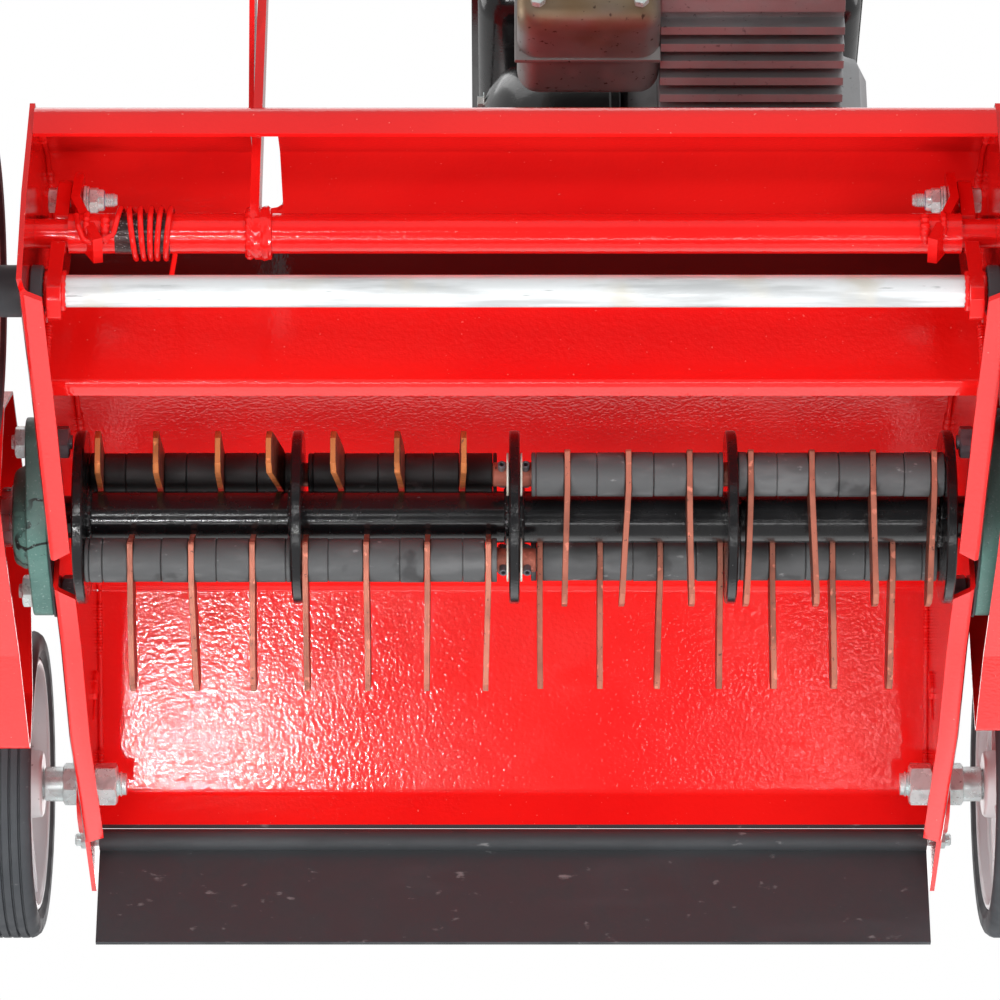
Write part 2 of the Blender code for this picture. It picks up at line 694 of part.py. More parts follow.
def deck():
    """The deck with its sloped front and rear, and the partition and brackets welded to it."""
    corners = [at(DECK_FRONT_AHEAD, FRONT_LIP_ABOVE), at(DECK_FRONT_AHEAD, DECK_FRONT_ABOVE),
               at(DECK_BEND_AHEAD, DECK_ABOVE), at(-REAR_TOP_BEHIND, DECK_ABOVE),
               at(-REAR_LIP_BEHIND, REAR_LIP_ABOVE),
               at(-REAR_LIP_BEHIND, REAR_LIP_ABOVE - REAR_LIP_DROP)]
    edge = HALF - GAP
    sheet = folded(bent(corners, BEND_RADIUS, 3), SHEET, -edge, edge)
    rear = at(DECK_SLOT_REAR, 0)[0]
    front = at(DECK_SLOT_FRONT, 0)[0]
    slot = rounded([(DECK_SLOT_LEFT, front), (DECK_SLOT_RIGHT, front),
                    (DECK_SLOT_RIGHT, rear), (DECK_SLOT_LEFT, rear)], 7 * MM, 3)
    opening = prism(slot, at(0, DECK_FRONT_ABOVE - 10 * MM)[1], at(0, DECK_ABOVE + 30 * MM)[1], "Z")
    sheet = cut(sheet, opening)
    welded = [partition(), depth_quadrant(), handlebar_bracket(-1), handlebar_bracket(1)]
    return node("deck", fuse(sheet, *welded), RED, 0.22)


def partition():
    """The folded cross plate between the rotor and the lift gear."""
    corners = [at(PARTITION_AHEAD - PARTITION_LIP, PARTITION_ABOVE), at(PARTITION_AHEAD, PARTITION_ABOVE),
               at(PARTITION_AHEAD, DECK_ABOVE + SHEET / 2)]
    edge = HALF - 2 * GAP
    return folded(bent(corners, 4 * MM, 3), -SHEET, -edge, edge)


# Depth gear geometry

def crank_end(travel):
    """The ear's bolt when the lift tube has turned by travel, in degrees."""
    angle = math.radians(CRANK_ANGLE - travel)
    return TUBE_AHEAD - CRANK_RADIUS * math.cos(angle), TUBE_ABOVE + CRANK_RADIUS * math.sin(angle)


ARM_LENGTH = math.dist(crank_end(0), (FRONT_AXLE_AHEAD, AXLE_ABOVE))


def axle_drop(travel):
    """How far the front axle has come down in its slots."""
    ahead, above = crank_end(travel)
    return AXLE_ABOVE - (above - math.sqrt(ARM_LENGTH ** 2 - (FRONT_AXLE_AHEAD - ahead) ** 2))


def idler_pivot():
    return (-IDLER_PIVOT_BEHIND, IDLER_PIVOT_ABOVE)


def lift_gear():
    """The lift tube with its ears and hand lever, turning in the side plates."""
    axis = spot(0, TUBE_AHEAD, TUBE_ABOVE)
    body = pivot("lift_axis", axis)
    end = PLATE_OUT + 5 * MM
    stub = EAR_MIDDLE + EAR_THICKNESS / 2
    profile = [(0, end), (TUBE_STUB_RADIUS, end), (TUBE_STUB_RADIUS, stub), (TUBE_RADIUS, stub),
               (TUBE_RADIUS, -stub), (TUBE_STUB_RADIUS, -stub), (TUBE_STUB_RADIUS, -end), (0, -end)]
    tube = turned(profile, 12, "X", axis)
    joined = [ear(side) for side in (-1, 1)]
    joined.append(lever_plate())
    lump = bar(TUBE_RADIUS + 3.5 * MM, (LEVER_AT, *axis[1:]), (LEVER_AT + 9 * MM, *axis[1:]), 12)
    joined.append(lump)
    node("lift_tube", fuse(tube, *joined), RED, 0.25, parent=body)
    ahead, above = lever_top()
    foot = spot(LEVER_AT, ahead, above)
    knob = [(0, 30 * MM), (9 * MM, 29 * MM), (15 * MM, 24 * MM), (KNOB_RADIUS, 15 * MM),
            (15 * MM, 6 * MM), (9 * MM, 1 * MM), (8 * MM, 0), (0, 0)]
    ball = turned(knob, 14, "Z", foot + Vector((0, 0, GAP)))
    node("lever_knob", ball, PLASTIC, 0.35, parent=body)
    torsion_spring(body)
    link_bolts(body)
    return body


def lever_top():
    lean = math.radians(LEVER_LEAN)
    return TUBE_AHEAD - LEVER_LENGTH * math.sin(lean), TUBE_ABOVE + LEVER_LENGTH * math.cos(lean)


def lever_plate():
    """The hand lever, a flat bar that narrows upwards, from the tube through the deck's slot."""
    ahead, above = lever_top()
    foot = LEVER_WIDTH / 2
    head = 8 * MM
    outline = [at(TUBE_AHEAD + foot, TUBE_ABOVE), at(TUBE_AHEAD + foot, TUBE_ABOVE + 40 * MM),
               at(ahead + head, above - 30 * MM), at(ahead + head, above),
               at(ahead - head, above), at(ahead - head, above - 30 * MM),
               at(TUBE_AHEAD - foot, TUBE_ABOVE + 40 * MM), at(TUBE_AHEAD - foot, TUBE_ABOVE)]
    outline += arc_points(at(TUBE_AHEAD, TUBE_ABOVE), foot, 0, -180, 8)[1:-1]
    half = LEVER_THICKNESS / 2
    return prism(outline, LEVER_AT - half, LEVER_AT + half)


def ear(side):
    """A bent ear: upright at the link's bolt, leaning inwards where it is welded to the tube."""
    half = EAR_THICKNESS / 2
    out = EAR_MIDDLE + half
    top = CRANK_RADIUS + 15 * MM
    foot = -24 * MM
    knee = 20 * MM
    section = [(out, top), (out, knee), (out - EAR_LEAN, foot),
               (out - EAR_LEAN - EAR_THICKNESS, foot + 2 * MM), (out - EAR_THICKNESS, knee + 1.5 * MM),
               (out - EAR_THICKNESS, top)]
    blank = prism([(side * x, s) for x, s in section], -EAR_WIDTH / 2, EAR_WIDTH / 2, "Y")
    face = [(-EAR_WIDTH / 2 + 4 * MM, top), (EAR_WIDTH / 2 - 4 * MM, top), (EAR_WIDTH / 2, top - 6 * MM),
            (EAR_WIDTH / 2, knee), (7 * MM, foot - 1 * MM), (-7 * MM, foot - 1 * MM),
            (-EAR_WIDTH / 2, knee), (-EAR_WIDTH / 2, top - 6 * MM)]
    trim = prism(face, side * EAR_MIDDLE - 50 * MM, side * EAR_MIDDLE + 50 * MM)
    blank = boolean(blank, (trim,), "INTERSECT")
    lean = Matrix.Rotation(math.radians(CRANK_ANGLE - 90), 4, "X")
    blank.data.transform(Matrix.Translation(spot(0, TUBE_AHEAD, TUBE_ABOVE)) @ lean)
    ahead, above = crank_end(0)
    centre = spot(0, ahead, above)
    hole = bar(LINK_BOLT_RADIUS + GAP + 0.1 * MM, (side * (out - 45 * MM), *centre[1:]),
               (side * (out + 15 * MM), *centre[1:]), 12)
    return cut(blank, hole)


def torsion_spring(body):
    """The spring wound round the tube, one unbroken wire hooked behind the left ear."""
    axis = spot(0, TUBE_AHEAD, TUBE_ABOVE)
    points = []
    for k in range(SPRING_POINTS + 1):
        turn = math.tau * k / POINTS_A_CURL + math.radians(SPRING_START)
        x = SPRING_LEFT + SPRING_PITCH * k / POINTS_A_CURL
        points.append(Vector((x, axis.y + SPRING_MEAN_RADIUS * math.cos(turn),
                              axis.z + SPRING_MEAN_RADIUS * math.sin(turn))))
    hook = [Vector((x * MM, axis.y + y * MM, axis.z + z * MM)) for x, y, z in SPRING_HOOK]
    last = points[-1]
    slope = math.radians(SPRING_LEG_SLOPE)
    wall = at(PARTITION_AHEAD, 0)[0] - SPRING_WIRE / 2 - 1 * MM
    reach = (wall - last.y) / math.cos(slope)
    way = Vector((0, math.cos(slope), math.sin(slope)))
    leg = [last + way * 12 * MM, last + way * (reach - 5 * MM),
           last + way * (reach - 1 * MM) + Vector((2 * MM, 0, 0)),
           last + way * reach + Vector((10 * MM, 0, 0))]
    path = hook + points + leg
    made = wire(path, SPRING_WIRE / 2, 1)
    node("torsion_spring", made, RED, 0.3, parent=body)
    print("torsion spring: least gap to itself %.2f mm" % (1000 * least_gap(path, SPRING_WIRE)))


def least_gap(path, thickness):
    """The least clear distance between stretches of a wire that aren't neighbours along it."""
    dense = []
    for a, b in zip(path, path[1:]):
        dense += [a.lerp(b, k / 4) for k in range(4)]
    lengths = [0.0]
    for a, b in zip(dense, dense[1:]):
        lengths.append(lengths[-1] + (b - a).length)
    least = 1.0
    for i, a in enumerate(dense):
        for j in range(i + 1, len(dense)):
            if lengths[j] - lengths[i] > 4 * thickness:
                least = min(least, (dense[j] - a).length)
    return least - thickness


def link_bolts(body):
    """The bolts that hang the arms on the ears, with washers and self-locking nuts."""
    ahead, above = crank_end(0)
    y, z = at(ahead, above)
    arm_out = ARM_MIDDLE + ARM_THICKNESS / 2
    ear_in = EAR_MIDDLE - EAR_THICKNESS / 2
    for name, side in SIDES:
        shank = bar(LINK_BOLT_RADIUS, (side * (arm_out + 2 * MM), y, z),
                    (side * (ear_in - LINK_BOLT_PAST), y, z), 10)
        head = hexagon(M8_AF, (side * (arm_out + GAP), y, z), (side * (arm_out + 5.6 * MM), y, z))
        nut = hexagon(M8_AF, (side * (ear_in - 1.9 * MM), y, z), (side * (ear_in - 8.5 * MM), y, z))
        washer = bar(8 * MM, (side * (ear_in - GAP), y, z), (side * (ear_in - 2.0 * MM), y, z), 14)
        collar = bar(5.6 * MM, (side * (ear_in - 8 * MM), y, z), (side * (ear_in - 11 * MM), y, z), 10)
        node("link_bolt_" + name, fuse(shank, head, washer, nut, collar), ZINC, 0.3, 0.9, parent=body)


def front_axle_gear(lift):
    """The axle with its welded arms and its bushes, hung from the ears."""
    ahead, above = crank_end(0)
    body = pivot("link_axis", spot(0, ahead, above), lift)
    axle_y, axle_z = at(FRONT_AXLE_AHEAD, AXLE_ABOVE)
    end = FRONT_WHEEL_INNER + WHEEL_WIDTH + 6 * MM
    axle = turned([(0, end), (AXLE_RADIUS - 1 * MM, end), (AXLE_RADIUS, end - 1 * MM),
                   (AXLE_RADIUS, -end + 1 * MM), (AXLE_RADIUS - 1 * MM, -end), (0, -end)],
                  14, "X", (0, axle_y, axle_z))
    arms = []
    bolt = Vector(at(ahead, above))
    foot = Vector((axle_y, axle_z)) - bolt
    span = foot.length
    foot.normalize()
    across = Vector((foot.y, -foot.x))
    half = ARM_WIDTH / 2
    tube = Vector(at(TUBE_AHEAD, TUBE_ABOVE)) - bolt
    bay = (tube.dot(foot), tube.dot(across))
    if bay[1] < 0:
        across = -across
        bay = (bay[0], -bay[1])
    clear = TUBE_STUB_RADIUS + 1.5 * MM
    outline = arc_points((0, 0), half, 90, 270, 6)
    outline += [(bay[0] - 20 * MM, -ARM_BULGE), (bay[0] + 16 * MM, -ARM_BULGE), (span - 4 * MM, -half),
                (span + 12 * MM, -half), (span + 17 * MM, -half + 5 * MM), (span + 17 * MM, half - 5 * MM),
                (span + 12 * MM, half), (bay[0] + clear + 3 * MM, half)]
    outline += arc_points(bay, clear, 0, -180, 6)
    outline.append((bay[0] - clear - 3 * MM, half))
    for side in (-1, 1):
        low = side * ARM_MIDDLE - ARM_THICKNESS / 2
        hole = ring_points(bolt, LINK_BOLT_RADIUS + RUN, 10)
        edge = [tuple(bolt + foot * u + across * v) for u, v in outline]
        arms.append(prism(edge, low, low + ARM_THICKNESS, "X", [hole]))
    node("front_axle", fuse(axle, *arms), ZINC, 0.28, 0.9, parent=body)
    bore = AXLE_RADIUS + GAP
    for name, side in SIDES:
        inner = HALF - GAP - BUSH_FLANGE
        outer = FRONT_WHEEL_INNER - 1.5 * MM
        profile = [(BUSH_RADIUS, outer), (BUSH_RADIUS, PLATE_OUT + GAP),
                   (BUSH_NECK_RADIUS, PLATE_OUT + GAP), (BUSH_NECK_RADIUS, HALF - GAP),
                   (BUSH_RADIUS, HALF - GAP), (BUSH_RADIUS, inner), (bore, inner), (bore, outer)]
        bush = turned(profile, 14, "X", (0, axle_y, axle_z), True, side)
        node("axle_bush_" + name, bush, PLASTIC, 0.45, parent=body)
    return body


# Wheels

def wheel(name, inner, side, centre, parent=None):
    """A solid tyre on a windowed plastic rim, turning about its own hub."""
    body = pivot(name + "_axis", centre, parent)
    middle = Vector((side * (inner + WHEEL_WIDTH / 2), centre[1], centre[2]))
    half = WHEEL_WIDTH / 2
    seat = WHEEL_RADIUS - TYRE_DEPTH
    top = WHEEL_RADIUS
    tyre = [(seat + GAP, half - 3 * MM), (top - 6 * MM, half), (top, half - 7 * MM)]
    profile = tyre + [(radius, -along) for radius, along in reversed(tyre)]
    node(name + "_tyre", turned(profile, WHEEL_SIDES, "X", middle, True), RUBBER, 0.75, parent=body)
    bore = max(AXLE_RADIUS, WHEEL_BOLT_RADIUS) + RUN
    edge = half - 4 * MM
    lower = [(seat, -edge), (seat - 4 * MM, -edge), (HUB_RADIUS + 2 * MM, -5 * MM), (HUB_RADIUS, -half),
             (bore, -half)]
    upper = [(radius, -along) for radius, along in reversed(lower)]
    rim = turned(upper[-1:] + lower + upper[:-1], WHEEL_SIDES, "X", middle, True)
    windows = []
    for k in range(SPOKE_WINDOWS):
        turn = 360 * k / SPOKE_WINDOWS
        hub = middle[1:]
        outline = arc_points(hub, seat - 10 * MM, turn - 24, turn + 24, 2)
        outline += arc_points(hub, HUB_RADIUS + 10 * MM, turn + 13, turn - 13, 1)
        windows.append(prism(outline, middle.x - half, middle.x + half))
    node(name + "_rim", cut(rim, *windows), SILVER, 0.35, 0.3, parent=body)
    return body


def wheel_bolts():
    """The rear wheels' fixed bolts, each with a nut on both sides of the plate."""
    y, z = at(-REAR_AXLE_BEHIND, WHEEL_ABOVE)
    end = REAR_WHEEL_INNER + WHEEL_WIDTH
    outside = PLATE_OUT + DOUBLER + GAP
    for name, side in SIDES:
        def span(start, stop):
            return (side * start, y, z), (side * stop, y, z)
        shank = bar(WHEEL_BOLT_RADIUS, *span(WHEEL_BOLT_END, end + 6 * MM), 12)
        inner = hexagon(WHEEL_NUT_AF, *span(HALF - GAP - WHEEL_NUT, HALF - GAP))
        outer = hexagon(WHEEL_NUT_AF, *span(outside, outside + 10 * MM))
        head = hexagon(WHEEL_NUT_AF, *span(end + 1 * MM, end + 9 * MM))
        sleeved = bar(WHEEL_BOLT_RADIUS + 3 * MM, *span(outside + 8 * MM, REAR_WHEEL_INNER - 1 * MM), 12)
        node("rear_wheel_bolt_" + name, fuse(shank, inner, outer, sleeved, head), ZINC, 0.3, 0.9)


# Rotor and flails

def rod_place(angle):
    turn = math.radians(angle)
    return ROD_CIRCLE * math.cos(turn), ROD_CIRCLE * math.sin(turn)


# name, side of the machine, the rod's angle from ahead, the flails' angle, layout
BANKS = (("left_lower", -1, ROD_ANGLE - 90, LEFT_LOWER_HANG, "A"),
         ("left_upper", -1, ROD_ANGLE + 90, LEFT_UPPER_HANG, "B"),
         ("right_upper", 1, ROD_ANGLE, RIGHT_UPPER_HANG, "B"),
         ("right_lower", 1, ROD_ANGLE - 180, RIGHT_LOWER_HANG, "A"))


def flail_bays(layout):
    """Each bay of a rod: its flails' places from the middle disc, and its sleeve's two ends."""
    half = DISC_THICKNESS / 2 + GAP
    if layout == "A":
        inner = [FLAIL_FIRST_A + FLAIL_PITCH * k for k in range(FLAILS_INNER_A)]
        outer = [FLAIL_OUTER_A + FLAIL_PITCH * k for k in range(FLAILS_PER_ROD - FLAILS_INNER_A)]
    else:
        places = [FLAIL_FIRST_B + FLAIL_PITCH * k for k in range(FLAILS_PER_ROD)]
        inner = [place for place in places if place < DISC_PITCH]
        outer = [place for place in places if place > DISC_PITCH]
    inner_end = min(DISC_PITCH - half, max(inner[-1], DISC_PITCH - half - FLAIL_THICKNESS / 2))
    return (("inner", inner, SPACER_START, inner_end),
            ("outer", outer, DISC_PITCH + half, 2 * DISC_PITCH - half))


def rotor():
    """The rotor: a tube with welded discs, four rods, and the flails between sleeves on them."""
    body = pivot("rotor_axis", spot(0, 0, 0))
    y, z = at(0, 0)
    last = 2 * DISC_PITCH
    half = DISC_THICKNESS / 2
    step = last + half + 1 * MM
    left = PLATE_OUT + BEARING_DEPTH + 8 * MM
    right = BELT_MIDDLE + PULLEY_WIDTH / 2 + 4 * MM
    profile = [(0, right), (ROTOR_STUB_RADIUS, right), (ROTOR_STUB_RADIUS, step),
               (ROTOR_TUBE_RADIUS, step), (ROTOR_TUBE_RADIUS, -step),
               (ROTOR_STUB_RADIUS, -step), (ROTOR_STUB_RADIUS, -left), (0, -left)]
    tube = turned(profile, 14, "X", (0, y, z))
    discs = []
    for k in range(-2, 3):
        holes = []
        for bank in BANKS:
            if k == 0 or bank[1] * k > 0:
                holes.append(ring_points(at(*rod_place(bank[2])), ROD_RADIUS + 1 * MM, 8))
        outline = ring_points((y, z), DISC_RADIUS, 24)
        discs.append(prism(outline, k * DISC_PITCH - half, k * DISC_PITCH + half, "X", holes))
    node("rotor_shaft", fuse(tube, *discs), GLOSS_BLACK, 0.2, parent=body)
    node("rotor_pulley", pulley(ROTOR_PULLEY_RADIUS, ROTOR_STUB_RADIUS + GAP, (0, y, z)),
         ALUMINIUM, 0.4, 0.8, parent=body)

    for name, side, rod_angle, flail_angle, layout in BANKS:
        place = rod_place(rod_angle)
        ry, rz = at(*place)
        rod = bar(ROD_RADIUS, (-side * ROD_STUB, ry, rz), (side * (last + half + ROD_PAST), ry, rz), 10)
        turn = math.radians(rod_angle + 90)
        across = Vector((0, -math.cos(turn), math.sin(turn))) * PIN_REACH
        joined = []
        for x in PIN_PLACES:
            centre = Vector((side * x, ry, rz))
            joined.append(bar(PIN_RADIUS, centre - across, centre + across, 6))
        washer = (-side * (half + GAP), -side * (half + GAP + COLLAR_THICKNESS))
        joined.append(bar(COLLAR_RADIUS, (washer[0], ry, rz), (washer[1], ry, rz), 12))
        node("flail_rod_" + name, fuse(rod, *joined), COPPER, 0.35, 0.8, parent=body)

        for bay, places, start, end in flail_bays(layout):
            hinge = pivot("flails_" + name + "_" + bay + "_axis",
                          spot(side * (start + end) / 2, *place), body)
            low, high = sorted((side * start, side * end))
            tube = sleeve(SPACER_RADIUS, SPACER_BORE, low, high, 8, "X", (0, ry, rz))
            blades = [flail(at(*place), flail_angle, side * x) for x in places]
            node("flails_" + name + "_" + bay, fuse(tube, *blades), COPPER, 0.4, 0.7, parent=hinge)
    return body


def flail(hole, angle, middle):
    """One swinging flail: a strip with cut corners, hung by a hole near its head."""
    turn = math.radians(angle)
    along = Vector((-math.cos(turn), math.sin(turn)))
    across = Vector((-along.y, along.x))
    half = FLAIL_WIDTH / 2
    ends = ((-FLAIL_HEAD, 3 * MM), (FLAIL_REACH, FLAIL_CHAMFER))
    outline = []
    for (reach, chamfer), sign in ((ends[0], 1), (ends[1], -1)):
        inward = chamfer * (1 if reach < 0 else -1)
        pair = [(reach + inward, sign * -half), (reach, sign * -(half - chamfer)),
                (reach, sign * (half - chamfer)), (reach + inward, sign * half)]
        outline += pair
    corners = [tuple(Vector(hole) + along * u + across * v) for u, v in outline]
    ring = ring_points(hole, FLAIL_HOLE_RADIUS, 6)
    thick = FLAIL_THICKNESS / 2
    return prism(corners, middle - thick, middle + thick, "X", [ring])


def pulley(seat, bore, centre):
    """A grooved pulley; the belt rides on its seat."""
    half = PULLEY_WIDTH / 2
    rim = seat + PULLEY_RIM
    groove = BELT_WIDTH / 2 + GAP
    flank = groove + GROOVE_FLARE
    profile = [(rim, half), (rim, flank), (seat - BELT_SLIP, groove), (seat - BELT_SLIP, -groove),
               (rim, -flank), (rim, -half), (bore, -half), (bore, half)]
    return turned(profile, 14, "X", (BELT_MIDDLE, centre[1], centre[2]), True)


# Bearings

def housing_outline():
    """The two-bolt flange's outline round the rotor's axis."""
    slant = math.radians(BEARING_SLANT)
    boss = BEARING_BOSS_RADIUS + 4 * MM
    lobe = BEARING_LOBE_RADIUS
    reach = BEARING_BOLT_SPACING / 2
    spread = math.degrees(math.acos((boss - lobe) / reach))
    flat = math.degrees(slant)
    points = arc_points((reach * math.cos(slant), reach * math.sin(slant)), lobe,
                        flat - spread, flat + spread, 4)
    points += arc_points((0, 0), boss, flat + spread, flat + 180 - spread, 3)
    points += arc_points((-reach * math.cos(slant), -reach * math.sin(slant)), lobe,
                         flat + 180 - spread, flat + 180 + spread, 4)
    points += arc_points((0, 0), boss, flat + 180 + spread, flat + 360 - spread, 3)
    return [at(ahead, above) for ahead, above in points]


def bearings():
    """The two bolted flange bearings, each one unit with its insert and its two bolts."""
    centre = at(0, 0)
    base = PLATE_OUT + GAP
    face = base + BEARING_FLANGE
    top = PLATE_OUT + BEARING_DEPTH
    for name, side in SIDES:
        flange = prism(housing_outline(), *sorted((side * base, side * face)))
        boss = turned([(0, top), (BEARING_COLLAR_RADIUS, top), (BEARING_COLLAR_RADIUS, top - 8 * MM),
                       (BEARING_BOSS_RADIUS - 2 * MM, top - 8 * MM),
                       (BEARING_BOSS_RADIUS + 1 * MM, face - 4 * MM), (0, face - 4 * MM)],
                      14, "X", (0, *centre), False, side)
        joined = [boss]
        for sign in (-1, 1):
            y, z = at(*bearing_bolt(sign))
            joined.append(bar(BEARING_BOLT_RADIUS, (side * (HALF - 9.8 * MM), y, z),
                              (side * (face + 9 * MM), y, z), 8))
            joined.append(hexagon(M10_AF, (side * (HALF - 8.6 * MM), y, z), (side * (HALF - GAP), y, z)))
            joined.append(hexagon(M10_AF, (side * (face - 1 * MM), y, z), (side * (face + 6.4 * MM), y, z)))
        bore = bar(ROTOR_STUB_RADIUS + RUN, (side * (HALF - 10 * MM), *centre),
                   (side * (top + 10 * MM), *centre), 14)
        node("bearing_" + name, cut(fuse(flange, *joined), bore), CAST_GREEN, 0.45, 0.2)


# Guards

def guard(name, outline, inner, side):
    """A sheet cover: its outline at the outer wall, with a rim back to the inner edge."""
    bm = bmesh.new()
    outer = [bm.verts.new((side * GUARD_OUTER, *at(*point))) for point in outline]
    inside = [bm.verts.new((side * inner, v.co.y, v.co.z)) for v in outer]
    bm.faces.new(outer)
    count = len(outer)
    for k in range(count):
        j = (k + 1) % count
        bm.faces.new((outer[k], outer[j], inside[j], inside[k]))
    bmesh.ops.recalc_face_normals(bm, faces=bm.faces)
    wall = max(bm.faces, key=lambda f: len(f.verts))
    if wall.normal.x * side < 0:
        bmesh.ops.reverse_faces(bm, faces=bm.faces)
    mesh = bpy.data.meshes.new(name)
    bm.to_mesh(mesh)
    bm.free()
    made = bpy.data.objects.new(name, mesh)
    PARTS.objects.link(made)
    skin = made.modifiers.new("skin", "SOLIDIFY")
    skin.thickness = GUARD_SHEET
    skin.offset = -1.0
    skin.use_even_offset = True
    return node(name, baked(made), RED, 0.22)


def guard_foot(front, rear):
    """A guard's lower edge, which follows the side plate's at a small drop."""
    edge = side_edge()
    points = []
    for ahead in (front, edge[3][0], edge[4][0], -rear):
        for (a, above), (b, further) in zip(edge, edge[1:]):
            if b <= ahead <= a:
                share = (a - ahead) / (a - b)
                points.append((ahead, above + (further - above) * share - GUARD_DROP))
                break
    return points


def guards():
    """The covers on both sides; the right one rises round the belt to the engine's shaft."""
    low = guard_foot(LEFT_GUARD_FRONT, LEFT_GUARD_REAR)
    left = low + [(-LEFT_GUARD_REAR + 6 * MM, -20 * MM), (-LEFT_GUARD_REAR + 81 * MM, GUARD_TOP - 4 * MM),
                  (LEFT_GUARD_FRONT - 34 * MM, GUARD_TOP), (LEFT_GUARD_FRONT + 6 * MM, 24 * MM)]
    guard("side_guard", rounded(left, 8 * MM, 2), LEFT_GUARD_INNER, -1)
    crown = arc_points((-CRANK_BEHIND, CRANK_ABOVE), TOWER_RADIUS + GUARD_ROUND, 184, -4, 10)
    low = guard_foot(RIGHT_GUARD_FRONT, RIGHT_GUARD_REAR)
    right = low + [(-RIGHT_GUARD_REAR - 2 * MM, 10 * MM), *crown, (RIGHT_GUARD_FRONT + 4 * MM, 20 * MM)]
    guard("belt_guard", rounded(right, 6 * MM, 2), RIGHT_GUARD_INNER, 1)


# Belt drive

def belt():
    """The belt round both pulleys, as the loop between two outlines."""
    start = Vector(at(0, 0))
    end = Vector(at(-CRANK_BEHIND, CRANK_ABOVE))
    span = (end - start).length
    lean = math.degrees(math.atan2(end.y - start.y, end.x - start.x))
    wrap = math.degrees(math.acos((ROTOR_PULLEY_RADIUS - ENGINE_PULLEY_RADIUS) / span))
    loops = []
    for depth in (BELT_DEPTH, 0):
        low = arc_points(start, ROTOR_PULLEY_RADIUS + depth, lean + wrap, lean - wrap + 360, 12)
        high = arc_points(end, ENGINE_PULLEY_RADIUS + depth, lean - wrap, lean + wrap, 12)
        loops.append(low + high)
    half = BELT_WIDTH / 2
    loop = prism(loops[0], BELT_MIDDLE - half, BELT_MIDDLE + half, "X", [loops[1]])
    return node("drive_belt", loop, RUBBER, 0.7)


def idler_place():
    """Where the idler waits behind the belt's slack run, clear of it."""
    above = IDLER_ABOVE
    share = above / CRANK_ABOVE
    slack = CRANK_BEHIND * share
    radius = ROTOR_PULLEY_RADIUS + (ENGINE_PULLEY_RADIUS - ROTOR_PULLEY_RADIUS) * share + BELT_DEPTH
    lean = math.cos(math.atan2(CRANK_BEHIND, CRANK_ABOVE))
    return -(slack + (radius + IDLER_CLEAR + IDLER_RADIUS) / lean), above


def idler():
    """The clutch idler on its swinging arm."""
    hinge = pivot("idler_arm_axis", spot(BELT_MIDDLE, *idler_pivot()))
    py, pz = at(*idler_pivot())
    iy, iz = at(*idler_place())
    reach = Vector((iy - py, iz - pz))
    way = math.degrees(math.atan2(reach.y, reach.x))
    outline = arc_points((py, pz), 11 * MM, way + 90, way + 270, 6)
    outline += arc_points((iy, iz), 9 * MM, way - 90, way + 90, 6)
    low = PLATE_OUT + 14 * MM
    plate = prism(outline, low, low + 5 * MM)
    post = bar(IDLER_POST_RADIUS, (HALF - 6 * MM, py, pz), (low + 8 * MM, py, pz), 12)
    head = bar(9 * MM, (HALF - 9 * MM, py, pz), (HALF - 1 * MM, py, pz), 12)
    pin = bar(IDLER_PIN_RADIUS, (low + 2 * MM, iy, iz), (BELT_MIDDLE + 13 * MM, iy, iz), 12)
    node("idler_arm", fuse(plate, post, head, pin), ZINC, 0.35, 0.9, parent=hinge)
    spin = pivot("idler_axis", (BELT_MIDDLE, iy, iz), hinge)
    half = BELT_WIDTH / 2 + 1 * MM
    rim = IDLER_RADIUS + IDLER_RIM
    bore = IDLER_PIN_RADIUS + RUN
    edge = half + 2 * MM
    profile = [(rim, edge), (rim, half), (IDLER_RADIUS, half), (IDLER_RADIUS, -half), (rim, -half),
               (rim, -edge), (bore, -edge), (bore, edge)]
    node("idler_pulley", turned(profile, 14, "X", (BELT_MIDDLE, iy, iz), True),
         PLASTIC, 0.4, parent=spin)


# Engine

